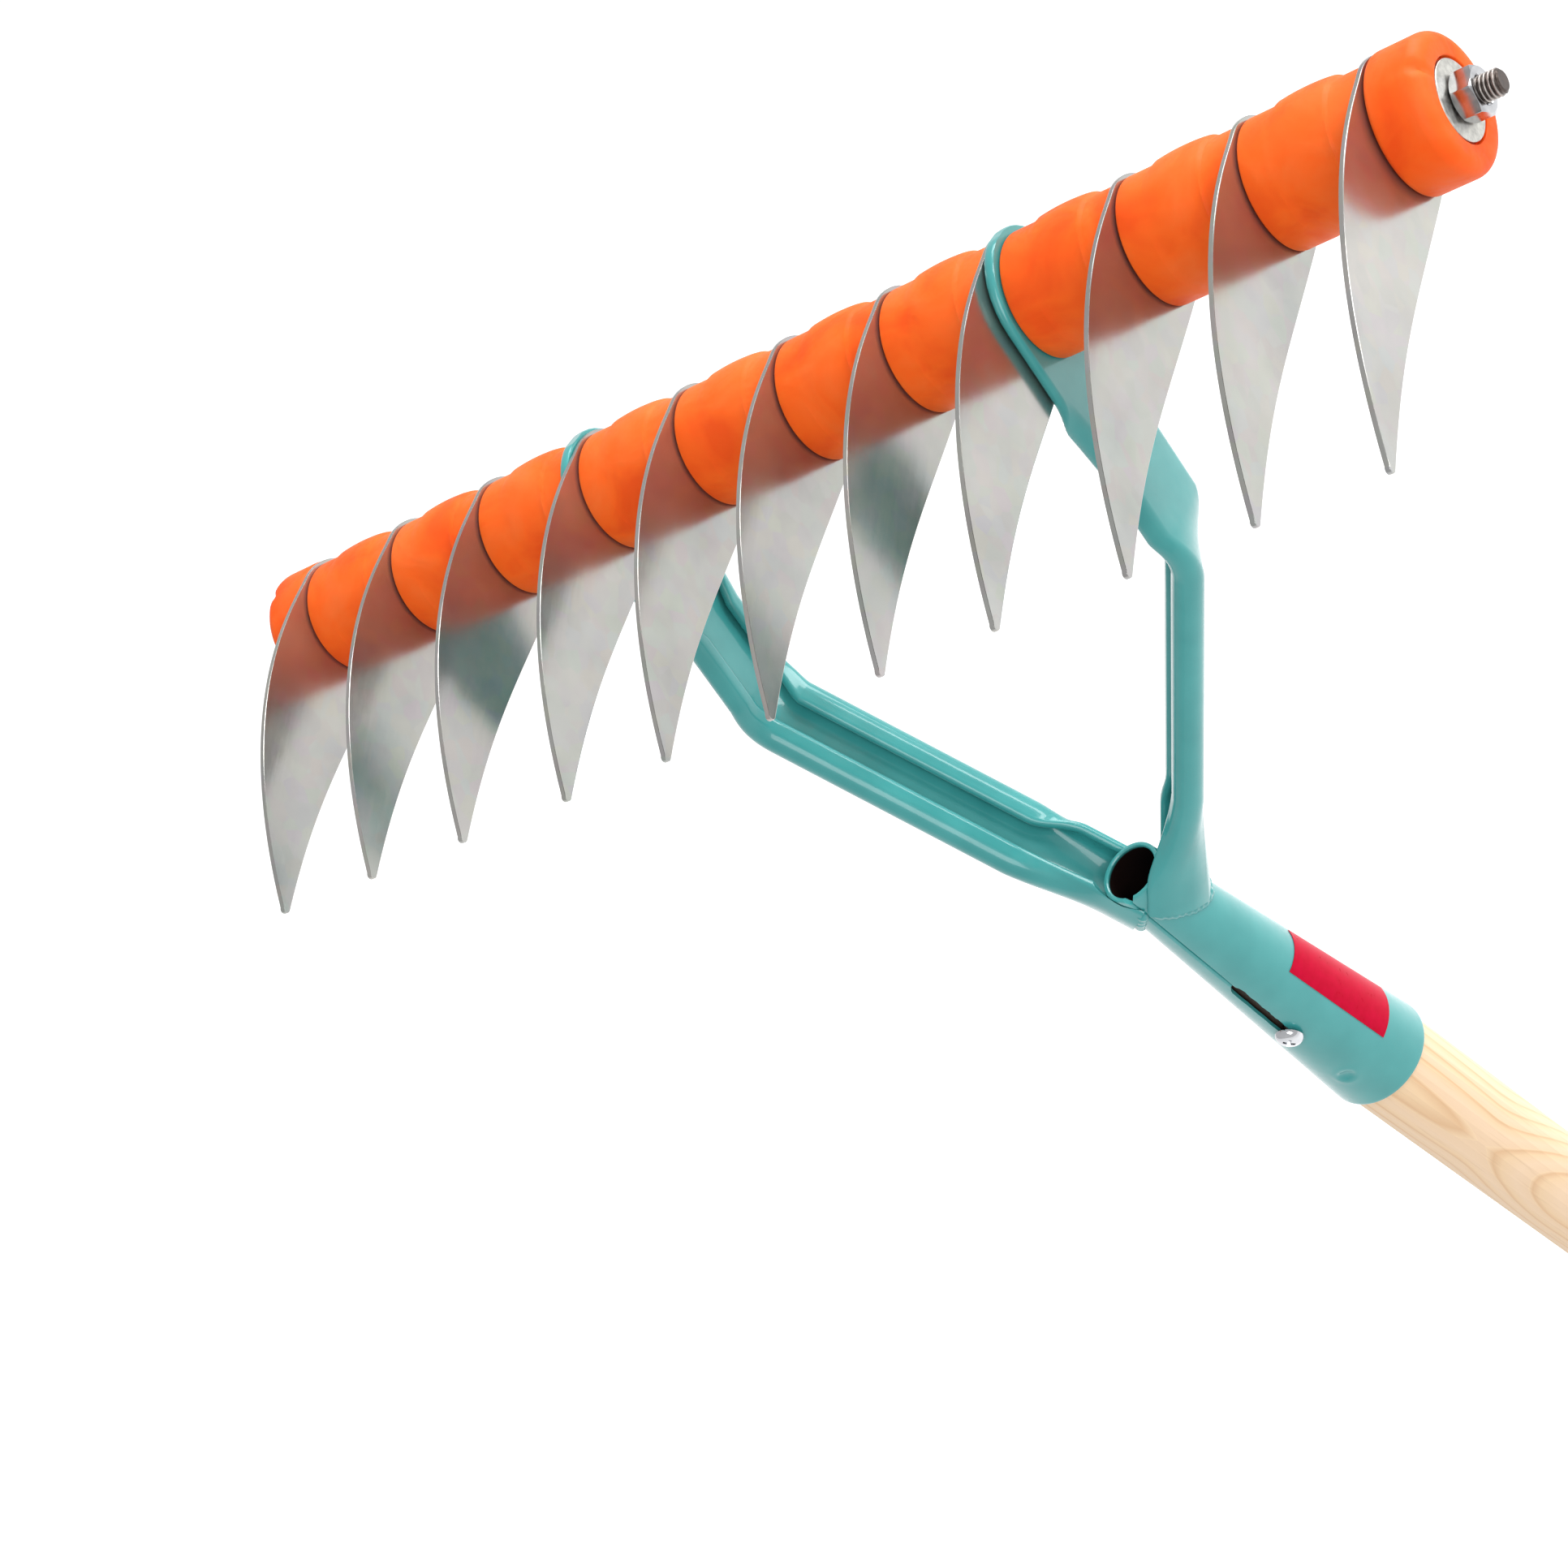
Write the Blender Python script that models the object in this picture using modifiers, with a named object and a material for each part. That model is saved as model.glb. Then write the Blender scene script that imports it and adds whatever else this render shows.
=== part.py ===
"""Aerator rake: curved steel blades and plastic spacers clamped on a threaded rod, which is carried
by a two-legged fork, a rolled socket and a long wooden handle with a dipped grip and a hanging cord.

Frame: +Z runs up the handle from the butt to the head, +X along the rod, and the blade tips point
to -Y. The origin is on the handle's axis, in the middle of the grip.
"""

import math

import bmesh
import bpy
from mathutils import Matrix, Vector

# Fits
GAP = 0.0003                  # between pieces that touch
ROD_CLEARANCE = 0.0003        # around the rod in every piece threaded on it

# Rod and its fasteners
ROD_DIAMETER = 0.0060
ROD_OVERHANG = 0.0045         # rod beyond each nut
ROD_CHAMFER = 0.0006
NUT_ACROSS_FLATS = 0.0100
NUT_HEIGHT = 0.0050
NUT_CHAMFER = 0.0007
WASHER_DIAMETER = 0.0180
WASHER_THICKNESS = 0.0012

# Blades
BLADE_COUNT = 11
BLADE_THICKNESS = 0.0012
BLADE_ROOT_RADIUS = 0.0155
BLADE_REACH = 0.0870          # from the rod's axis to the tip
BLADE_BACK_ANGLE = 79.0       # where the convex edge leaves the round root, in degrees
BLADE_BACK_PULL = 0.0102      # how far the convex edge keeps the root's direction
BLADE_BACK_PEAK = (0.0401, 0.0294)    # control of the convex edge, towards the tip and up
BLADE_FRONT_ANGLE = -102.0    # where the concave edge leaves the round root
BLADE_FRONT_PULL = 0.0345
BLADE_FRONT_PEAK = (0.0525, -0.0018)
BLADE_TIP_RADIUS = 0.0011

# Spacers, in three bands along the rod
SPACER_LENGTH = 0.0292
SPACER_RADIUS = 0.0147        # of the first band
SPACER_BAND_ONE = 0.0072
SPACER_BAND_THREE = 0.0072
SPACER_BELLY = 0.0005         # how much larger the middle band's radius is at its fullest
SPACER_OFFSET = 0.0006        # of the middle band's axis, away from the tips
SPACER_NECK = 0.0003          # how much smaller the last band's radius is
SPACER_STEP = 0.0013          # length of the step down to the last band
SPACER_EDGE = 0.0006          # rounding at the ends

# End caps
CAP_RADIUS = 0.0157
CAP_LENGTH = 0.0132
CAP_INNER_EDGE = 0.0014
CAP_OUTER_EDGE = 0.0034
CAP_RECESS = 0.0016           # depth of the washer's seat
CAP_RECESS_CLEARANCE = 0.0005

# Fork legs: a pressed strip, flat at the eye, then with folded edges that open out at the foot
EYE_BLADE_OFFSET = 2          # eyes lie outside the second blade from the middle one
LEG_THICKNESS = 0.0026
LEG_HALF_WIDTH = 0.0162       # of the flat strip, and the eye's radius
LEG_STRIP = 0.0172            # half the strip's width, laid flat, where its edges are folded over
LEG_FLAT_END = 0.0200         # from the rod, where the strip's edges start to fold
LEG_FOLD_START = 0.0340       # from the rod, where the edges are folded over
LEG_FOLD_WEB = 0.0096         # half the flat back between the folded edges
LEG_FOLD_RADIUS = 0.0016      # of the strip's mid-line in the folded edges
LEG_TURN_START = 0.0585       # from the rod, where the strip narrows and starts to twist
LEG_SHANK_WEB = 0.0066        # half the flat back below the knee
LEG_SHANK_RADIUS = 0.0023     # of the strip's mid-line in the folds there
LEG_FOOT_WEB = 0.0057         # half the flat back at the foot
LEG_FOOT_RADIUS = 0.0030      # of the strip's mid-line in the folds there
LEG_KNEE = 0.0658             # from the rod to the knee, along the fork
LEG_KNEE_RADIUS = 0.0200
LEG_MEET = 0.1629             # from the rod to where the legs' backs would meet
LEG_END = 0.1518              # from the rod to the square-cut foot
LEG_FOOT_START = 0.1285       # from the rod, where the folds open and the front side draws in
LEG_PINCH = 0.0042            # how far the front side draws in and is cut back
LEG_TWIST = 25.0              # of the strip below the knee, in degrees
LEG_SET_KNEE = 0.0002         # how far the strip stands before the fork's plane at the knee
LEG_SET_END = -0.0026         # and at the foot

# Socket: a rolled cone, open at its narrow top
HANDLE_OFFSET = 0.0600        # from the rod's axis forward to the handle's axis
FORK_DROP = 0.1340            # below the rod, where the fork's plane crosses the handle's axis
SOCKET_TOP_DROP = 0.1243
SOCKET_LENGTH = 0.1027
SOCKET_TOP_RADIUS = 0.0081
SOCKET_WALL = 0.0012
SLOT_WIDTH = 0.0022
SLOT_TOP = 0.0610             # from the mouth up to the slot's top
SEAM_NOTCH_DEPTH = 0.0022
SEAM_NOTCH_WIDTH = 0.0042
DIMPLE_HEIGHT = 0.0140        # from the mouth up to the punched dimple
DIMPLE_SIDE = 0.0012          # to the right of the seam
DIMPLE_RADIUS = 0.0022
DIMPLE_DEPTH = 0.0005

# Socket screw
SCREW_HEIGHT = 0.0368         # from the mouth up to the screw
SCREW_HEAD_DIAMETER = 0.0072
SCREW_HEAD_HEIGHT = 0.0023
SCREW_SHANK_DIAMETER = 0.0034
SCREW_SHANK_LENGTH = 0.0120
SCREW_TIP_LENGTH = 0.0025
SCREW_CROSS_WIDTH = 0.0010
SCREW_CROSS_LENGTH = 0.0042
SCREW_CROSS_DEPTH = 0.0011

# Handle and grip
HANDLE_RADIUS = 0.01325
HANDLE_GRIP_RADIUS = 0.0130   # a light taper towards the butt
HANDLE_SHOWN = 1.3500         # from the butt to the socket's mouth
HANDLE_SEAT = 0.0700          # cone inside the socket
HANDLE_END_EDGE = 0.0012
GRIP_LENGTH = 0.2350
GRIP_WALL = 0.0009
GRIP_END_ROUND = 0.0100       # height of the rounded butt
GRIP_PROUD = 0.0003           # grip surface above the wood's
HANG_HOLE_HEIGHT = 0.0145     # above the butt
HANG_HOLE_DIAMETER = 0.0024
HANG_HOLE_TURN = 23.0         # of the hole about the handle's axis, from the rod's direction
CORD_DIAMETER = 0.0018

# Facets
ROUND_SEGMENTS = 32
SPACER_SEGMENTS = 20
SMALL_SEGMENTS = 16
BLADE_EDGE_STEPS = 8
BLADE_HOLE_STEPS = 4
MERGE = 0.00001
SMOOTH_ANGLE = 35.0

# Worked out from the sizes above
PITCH = SPACER_LENGTH + BLADE_THICKNESS + 2 * GAP
EYE_SPACE = LEG_THICKNESS + GAP
BORE_RADIUS = ROD_DIAMETER / 2 + ROD_CLEARANCE
BUTT_Z = -GRIP_LENGTH / 2
MOUTH_Z = BUTT_Z + HANDLE_SHOWN
ROD_Z = MOUTH_Z + SOCKET_LENGTH + SOCKET_TOP_DROP
SOCKET_MOUTH_RADIUS = HANDLE_RADIUS + GAP + SOCKET_WALL
SOCKET_SLOPE = (SOCKET_MOUTH_RADIUS - SOCKET_TOP_RADIUS) / SOCKET_LENGTH
FORK_LEAN = math.atan2(HANDLE_OFFSET, FORK_DROP)

MIDDLE_BLADE = BLADE_COUNT // 2
ALONG_ROD = Matrix.Rotation(math.radians(90), 4, "Y")   # turned shapes stand on +Z, the rod on +X


def blade_station(index):
    """Distance along the rod of a blade's middle plane; blades beyond an eye stand further out."""
    steps = index - MIDDLE_BLADE
    beyond_eye = abs(steps) > EYE_BLADE_OFFSET
    return steps * PITCH + (math.copysign(EYE_SPACE, steps) if beyond_eye else 0.0)


END_BLADE_FACE = blade_station(BLADE_COUNT - 1) + BLADE_THICKNESS / 2
CAP_START = END_BLADE_FACE + GAP
WASHER_START = CAP_START + CAP_LENGTH - CAP_RECESS + GAP
NUT_START = WASHER_START + WASHER_THICKNESS + GAP
ROD_HALF_LENGTH = NUT_START + NUT_HEIGHT + ROD_OVERHANG
EYE_PLANE = blade_station(MIDDLE_BLADE + EYE_BLADE_OFFSET) + BLADE_THICKNESS / 2 + GAP + LEG_THICKNESS / 2


def socket_radius(height):
    """Outer radius of the socket at a height above its mouth."""
    return SOCKET_MOUTH_RADIUS - SOCKET_SLOPE * height


def clear_scene():
    """Remove what an open file holds."""
    for thing in list(bpy.data.objects):
        bpy.data.objects.remove(thing)


def new_collection(name):
    """Add a collection to the scene."""
    collection = bpy.data.collections.new(name)
    bpy.context.scene.collection.children.link(collection)
    return collection


clear_scene()
PARTS = new_collection("aerator_rake")
CUTTERS = new_collection("cutters")


def new_material(name, colour, roughness, metallic=0.0):
    """A Principled material of one colour."""
    material = bpy.data.materials.new(name)
    material.use_nodes = True
    shader = material.node_tree.nodes["Principled BSDF"]
    shader.inputs["Base Color"].default_value = (*colour, 1.0)
    shader.inputs["Roughness"].default_value = roughness
    shader.inputs["Metallic"].default_value = metallic
    material.diffuse_color = (*colour, 1.0)
    return material


BLADE_STEEL = new_material("galvanised_blade", (0.62, 0.62, 0.60), 0.32, 1.0)
ROD_STEEL = new_material("threaded_steel", (0.30, 0.27, 0.25), 0.40, 1.0)
NUT_ZINC = new_material("zinc_nut", (0.66, 0.67, 0.68), 0.25, 1.0)
WASHER_ZINC = new_material("zinc_washer", (0.70, 0.70, 0.66), 0.45, 1.0)
SCREW_ZINC = new_material("zinc_screw", (0.72, 0.73, 0.75), 0.22, 1.0)
SPACER_PLASTIC = new_material("spacer_plastic", (1.0, 0.16, 0.01), 0.42)
CAP_PLASTIC = new_material("cap_plastic", (1.0, 0.15, 0.02), 0.42)
FORK_PAINT = new_material("fork_paint", (0.09, 0.40, 0.38), 0.18)
SOCKET_PAINT = new_material("socket_paint", (0.09, 0.41, 0.39), 0.18)
HANDLE_WOOD = new_material("handle_wood", (0.88, 0.67, 0.40), 0.55)
GRIP_COAT = new_material("grip_coat", (0.57, 0.045, 0.13), 0.45)
CORD_FIBRE = new_material("cord_fibre", (0.11, 0.02, 0.05), 0.80)


def bake(thing):
    """Replace an object with a welded mesh of what its modifiers or curve give, in world space."""
    graph = bpy.context.evaluated_depsgraph_get()
    graph.update()
    mesh = bpy.data.meshes.new_from_object(thing.evaluated_get(graph))
    mesh.transform(thing.matrix_world)
    shape = bmesh.new()
    shape.from_mesh(mesh)
    bmesh.ops.remove_doubles(shape, verts=shape.verts, dist=MERGE)
    bmesh.ops.recalc_face_normals(shape, faces=shape.faces)
    shape.to_mesh(mesh)
    shape.free()
    bpy.data.objects.remove(thing)
    return mesh


def turned(profile, segments, closed=False):
    """Mesh turned about Z from (radius, height) points that run down the outer side."""
    count = len(profile)
    edges = [(i, i + 1) for i in range(count - 1)]
    if closed:
        edges.append((count - 1, 0))
    outline = bpy.data.meshes.new("profile")
    outline.from_pydata([(radius, 0.0, height) for radius, height in profile], edges, [])
    thing = bpy.data.objects.new("profile", outline)
    CUTTERS.objects.link(thing)
    screw = thing.modifiers.new("turn", "SCREW")
    screw.steps = segments
    screw.render_steps = segments
    screw.use_merge_vertices = True
    screw.merge_threshold = MERGE
    return bake(thing)


def moved(mesh, matrix):
    """Carry a mesh through a matrix and hand it back."""
    mesh.transform(matrix)
    return mesh


def add_part(name, mesh, material, parent=None, location=(0.0, 0.0, 0.0)):
    """One named sub-part in the object's collection."""
    mesh.name = name
    mesh.materials.clear()
    mesh.materials.append(material)
    mesh.shade_smooth()
    mesh.set_sharp_from_angle(angle=math.radians(SMOOTH_ANGLE))
    thing = bpy.data.objects.new(name, mesh)
    PARTS.objects.link(thing)
    thing.parent = parent
    thing.location = location
    return thing


def add_cutter(name, mesh, parent=None):
    """A shape that only cuts others."""
    thing = bpy.data.objects.new(name, mesh)
    CUTTERS.objects.link(thing)
    thing.parent = parent
    thing.hide_render = True
    thing.display_type = "WIRE"
    return thing


def cut(thing, cutter):
    """Take a cutter out of a part."""
    modifier = thing.modifiers.new("cut_" + cutter.name, "BOOLEAN")
    modifier.operation = "DIFFERENCE"
    modifier.solver = "EXACT"
    modifier.object = cutter


def box_mesh(low, high):
    """A box between two corners."""
    shape = bmesh.new()
    bmesh.ops.create_cube(shape, size=1.0)
    size = Vector(high) - Vector(low)
    bmesh.ops.scale(shape, vec=size, verts=shape.verts)
    bmesh.ops.translate(shape, vec=(Vector(low) + Vector(high)) / 2, verts=shape.verts)
    mesh = bpy.data.meshes.new("box")
    shape.to_mesh(mesh)
    shape.free()
    return mesh


def cylinder_mesh(radius, length, segments):
    """A cylinder on +Z, centred on the origin."""
    shape = bmesh.new()
    bmesh.ops.create_cone(shape, cap_ends=True, segments=segments, radius1=radius, radius2=radius, depth=length)
    mesh = bpy.data.meshes.new("cylinder")
    shape.to_mesh(mesh)
    shape.free()
    return mesh


def ring_profile(radius, bore, low, high, low_edge, high_edge):
    """Closed (radius, height) outline of a bored disc with chamfered outer edges."""
    return [
        (bore, high),
        (radius - high_edge, high),
        (radius, high - high_edge),
        (radius, low + low_edge),
        (radius - low_edge, low),
        (bore, low),
    ]


def rounded_corner(radius, height, size, up, steps):
    """Points of a quarter-round outer edge, from top to bottom."""
    points = []
    for i in range(steps + 1):
        turn = math.radians(90) * i / steps
        across = size * (math.sin(turn) if up else math.cos(turn))
        along = size * (math.cos(turn) if up else -math.sin(turn))
        points.append((radius - size + across, height + along))
    return points


# Head: everything that tilts about the rod's axis

def head_pivot():
    """Empty on the rod's axis that carries the head."""
    pivot = bpy.data.objects.new("head_pivot", None)
    PARTS.objects.link(pivot)
    pivot.location = (0.0, HANDLE_OFFSET, ROD_Z)
    return pivot


def add_rod(pivot):
    """Threaded rod, plain here, with a chamfer at each end."""
    radius = ROD_DIAMETER / 2
    top = ROD_HALF_LENGTH
    profile = [
        (0.0, top),
        (radius - ROD_CHAMFER, top),
        (radius, top - ROD_CHAMFER),
        (radius, -top + ROD_CHAMFER),
        (radius - ROD_CHAMFER, -top),
        (0.0, -top),
    ]
    add_part("threaded_rod", moved(turned(profile, SMALL_SEGMENTS), ALONG_ROD), ROD_STEEL, pivot)


def on_circle(radius, degrees):
    """Point on a circle about the rod, with the tips on the left."""
    turn = math.radians(degrees)
    return Vector((radius * math.cos(turn), radius * math.sin(turn), 0.0))


def circle_direction(degrees):
    """Direction of travel round the circle, against the clock."""
    turn = math.radians(degrees)
    return Vector((-math.sin(turn), math.cos(turn), 0.0))


def add_knot(spline, index, place, before, after):
    """Set one point of a free Bezier spline and its two handles."""
    knot = spline.bezier_points[index]
    knot.handle_left_type = "FREE"
    knot.handle_right_type = "FREE"
    knot.co = place
    knot.handle_left = place + before
    knot.handle_right = place + after


def arc_pull(radius, degrees):
    """Bezier handle length for an arc."""
    return 4.0 / 3.0 * math.tan(math.radians(degrees) / 4) * radius


def blade_mesh():
    """Sickle-shaped blade with a round root and a rod hole, its plane across the rod."""
    curve = bpy.data.curves.new("blade_outline", "CURVE")
    curve.dimensions = "2D"
    curve.fill_mode = "BOTH"
    curve.extrude = BLADE_THICKNESS / 2
    outline = curve.splines.new("BEZIER")
    outline.bezier_points.add(5)
    outline.use_cyclic_u = True
    outline.resolution_u = BLADE_EDGE_STEPS

    radius = BLADE_ROOT_RADIUS
    root_turn = (BLADE_BACK_ANGLE - BLADE_FRONT_ANGLE) / 2
    root_pull = arc_pull(radius, root_turn)
    rear_angle = BLADE_FRONT_ANGLE + root_turn
    back = on_circle(radius, BLADE_BACK_ANGLE)
    back_way = circle_direction(BLADE_BACK_ANGLE)
    front = on_circle(radius, BLADE_FRONT_ANGLE)
    front_way = circle_direction(BLADE_FRONT_ANGLE)
    rear = on_circle(radius, rear_angle)
    rear_way = circle_direction(rear_angle)

    tip = BLADE_TIP_RADIUS
    tip_x = -BLADE_REACH
    upper = Vector((tip_x + tip, tip, 0.0))
    nose = Vector((tip_x, 0.0, 0.0))
    lower = Vector((tip_x + tip, -tip, 0.0))
    tip_pull = arc_pull(tip, 90.0)
    back_peak = Vector((-BLADE_BACK_PEAK[0], BLADE_BACK_PEAK[1], 0.0))
    front_peak = Vector((-BLADE_FRONT_PEAK[0], BLADE_FRONT_PEAK[1], 0.0))

    add_knot(outline, 0, back, -back_way * root_pull, back_way * BLADE_BACK_PULL)
    add_knot(outline, 1, upper, back_peak - upper, Vector((-tip_pull, 0.0, 0.0)))
    add_knot(outline, 2, nose, Vector((0.0, tip_pull, 0.0)), Vector((0.0, -tip_pull, 0.0)))
    add_knot(outline, 3, lower, Vector((-tip_pull, 0.0, 0.0)), front_peak - lower)
    add_knot(outline, 4, front, -front_way * BLADE_FRONT_PULL, front_way * root_pull)
    add_knot(outline, 5, rear, -rear_way * root_pull, rear_way * root_pull)

    hole = curve.splines.new("BEZIER")
    hole.bezier_points.add(3)
    hole.use_cyclic_u = True
    hole.resolution_u = BLADE_HOLE_STEPS
    hole_pull = arc_pull(BORE_RADIUS, 90.0)
    for i in range(4):
        way = circle_direction(90.0 * i) * hole_pull
        add_knot(hole, i, on_circle(BORE_RADIUS, 90.0 * i), -way, way)

    thing = bpy.data.objects.new("blade_outline", curve)
    CUTTERS.objects.link(thing)
    mesh = bake(thing)
    # The outline was drawn flat: its right becomes +Y, its up +Z and its thickness runs along +X.
    across_rod = Matrix(((0, 0, 1, 0), (1, 0, 0, 0), (0, 1, 0, 0), (0, 0, 0, 1)))
    return moved(mesh, across_rod)


def add_blades(pivot):
    """The row of equal blades."""
    mesh = blade_mesh()
    for index in range(BLADE_COUNT):
        name = "blade_%02d" % (index + 1)
        add_part(name, mesh.copy(), BLADE_STEEL, pivot, (blade_station(index), 0.0, 0.0))
    bpy.data.meshes.remove(mesh)


def spacer_mesh():
    """Moulded spacer on +X from its start; the middle band bellies out, most on the side away from the tips."""
    neck = SPACER_RADIUS - SPACER_NECK
    neck_start = SPACER_LENGTH - SPACER_BAND_THREE
    belly_start = SPACER_BAND_ONE
    belly_end = neck_start - SPACER_STEP
    belly_length = belly_end - belly_start
    bottom_up = [
        (BORE_RADIUS, 0.0),
        (SPACER_RADIUS - SPACER_EDGE, 0.0),
        (SPACER_RADIUS, SPACER_EDGE),
        (SPACER_RADIUS, belly_start),
        (SPACER_RADIUS + SPACER_BELLY * 0.85, belly_start + belly_length * 0.28),
        (SPACER_RADIUS + SPACER_BELLY, belly_start + belly_length * 0.52),
        (SPACER_RADIUS + SPACER_BELLY * 0.5, belly_end),
        (neck, neck_start),
        (neck, SPACER_LENGTH - SPACER_EDGE),
        (neck - SPACER_EDGE, SPACER_LENGTH),
        (BORE_RADIUS, SPACER_LENGTH),
    ]
    mesh = turned(bottom_up[::-1], SPACER_SEGMENTS, closed=True)
    for vertex in mesh.vertices:
        if math.hypot(vertex.co.x, vertex.co.y) > SPACER_RADIUS + MERGE * 2:
            vertex.co.y += SPACER_OFFSET
    return moved(mesh, ALONG_ROD)


def spacer_start(index):
    """Where the spacer after a blade begins, leaving room for the right eye where it lies there."""
    start = blade_station(index) + BLADE_THICKNESS / 2 + GAP
    if index == MIDDLE_BLADE + EYE_BLADE_OFFSET:
        start += EYE_SPACE
    return start


def add_spacers(pivot):
    """A spacer between each two blades."""
    mesh = spacer_mesh()
    for index in range(BLADE_COUNT - 1):
        name = "spacer_%02d" % (index + 1)
        add_part(name, mesh.copy(), SPACER_PLASTIC, pivot, (spacer_start(index), 0.0, 0.0))
    bpy.data.meshes.remove(mesh)


def add_end_fittings(pivot, side, turn):
    """Cap, washer and nut at one end of the rod."""
    outward = turn @ ALONG_ROD
    outer = CAP_START + CAP_LENGTH
    recess_radius = WASHER_DIAMETER / 2 + CAP_RECESS_CLEARANCE
    cap = [(BORE_RADIUS, outer - CAP_RECESS), (recess_radius, outer - CAP_RECESS), (recess_radius, outer)]
    cap += rounded_corner(CAP_RADIUS, outer - CAP_OUTER_EDGE, CAP_OUTER_EDGE, True, 3)
    cap += rounded_corner(CAP_RADIUS, CAP_START + CAP_INNER_EDGE, CAP_INNER_EDGE, False, 2)
    cap += [(BORE_RADIUS, CAP_START)]
    mesh = turned(cap, ROUND_SEGMENTS, closed=True)
    add_part("end_cap_" + side, moved(mesh, outward), CAP_PLASTIC, pivot)

    washer = ring_profile(
        WASHER_DIAMETER / 2, BORE_RADIUS, WASHER_START, WASHER_START + WASHER_THICKNESS, GAP / 2, GAP / 2
    )
    mesh = turned(washer, ROUND_SEGMENTS, closed=True)
    add_part("washer_" + side, moved(mesh, outward), WASHER_ZINC, pivot)
    add_part("nut_" + side, moved(nut_mesh(), outward), NUT_ZINC, pivot)


def nut_mesh():
    """Hexagon nut: a chamfered blank cut to six flats."""
    corner = NUT_ACROSS_FLATS / math.sqrt(3)
    top = NUT_START + NUT_HEIGHT
    blank = ring_profile(corner + MERGE, BORE_RADIUS, NUT_START, top, NUT_CHAMFER, NUT_CHAMFER)
    thing = add_cutter("nut_blank", turned(blank, ROUND_SEGMENTS, closed=True))
    hexagon = add_cutter("nut_hexagon", cylinder_mesh(corner, NUT_HEIGHT * 2, 6))
    hexagon.location.z = NUT_START + NUT_HEIGHT / 2
    modifier = thing.modifiers.new("flats", "BOOLEAN")
    modifier.operation = "INTERSECT"
    modifier.solver = "EXACT"
    modifier.object = hexagon
    mesh = bake(thing)
    bpy.data.objects.remove(hexagon)
    return mesh


# Fork: two mirrored legs

def half_section(roll, narrow, web, radius, trim):
    """One side of the strip's outline, from (across, inward) points, from the back round to the inside."""
    arc = math.pi * radius
    half_strip = LEG_HALF_WIDTH + (LEG_STRIP - LEG_HALF_WIDTH) * roll - trim
    outer = [Vector((0.0, -LEG_THICKNESS / 2))]
    inner = [Vector((0.0, LEG_THICKNESS / 2))]
    for station in [0.0] + [arc * i / 5 for i in range(1, 6)] + [half_strip - web]:
        bent = min(station, arc)
        straight = station - bent
        turn = roll * math.pi * bent / arc
        across = bent
        inward = 0.0
        if turn > 0.001:
            across = bent / turn * math.sin(turn)
            inward = bent / turn * (1 - math.cos(turn))
        way = Vector((math.cos(turn), math.sin(turn)))
        middle = Vector((web + across, inward)) + way * straight
        middle.x *= narrow
        out = Vector((way.y, -way.x)) * LEG_THICKNESS / 2
        outer.append(middle + out)
        inner.append(middle - out)
    return outer + inner[::-1]


def leg_section(roll, narrow, web, radius, pinch):
    """Outline of the strip; roll runs from 0 flat to 1 folded, pinch draws in and trims the front side."""
    front = half_section(roll, narrow, web - pinch, radius, pinch)
    rear = half_section(roll, narrow, web, radius, 0.0)
    return front + [Vector((-p.x, p.y)) for p in rear[-2:0:-1]]


def ramp(value, start, end):
    """0 before start, 1 after end and an even rise between."""
    return min(max((value - start) / (end - start), 0.0), 1.0)


def leg_path():
    """Stations (x, drop along the fork, direction angle, width factor) of the leg's back."""
    bend = math.atan2(EYE_PLANE, LEG_MEET - LEG_KNEE)
    tangent = LEG_KNEE_RADIUS * math.tan(bend / 2)
    path = []
    for degrees in (12, 28, 46, 66, 90):
        turn = math.radians(degrees)
        path.append((EYE_PLANE, -LEG_HALF_WIDTH * math.cos(turn), 0.0, math.sin(turn)))
    knee_start = LEG_KNEE - tangent
    fold_length = LEG_FOLD_START - LEG_FLAT_END
    for i in range(5):
        path.append((EYE_PLANE, LEG_FLAT_END + fold_length * i / 4, 0.0, 1.0))
    path.append((EYE_PLANE, LEG_TURN_START, 0.0, 1.0))
    steps = 6
    for i in range(steps + 1):
        turn = bend * i / steps
        x = EYE_PLANE - LEG_KNEE_RADIUS * (1 - math.cos(turn))
        drop = knee_start + LEG_KNEE_RADIUS * math.sin(turn)
        path.append((x, drop, turn, 1.0))
    knee_end = drop
    half_open = (LEG_FOOT_START + LEG_END) / 2
    for drop in (LEG_FOOT_START, half_open, LEG_END):
        path.append(((LEG_MEET - drop) * math.tan(bend), drop, bend, 1.0))
    return path, knee_end


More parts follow.
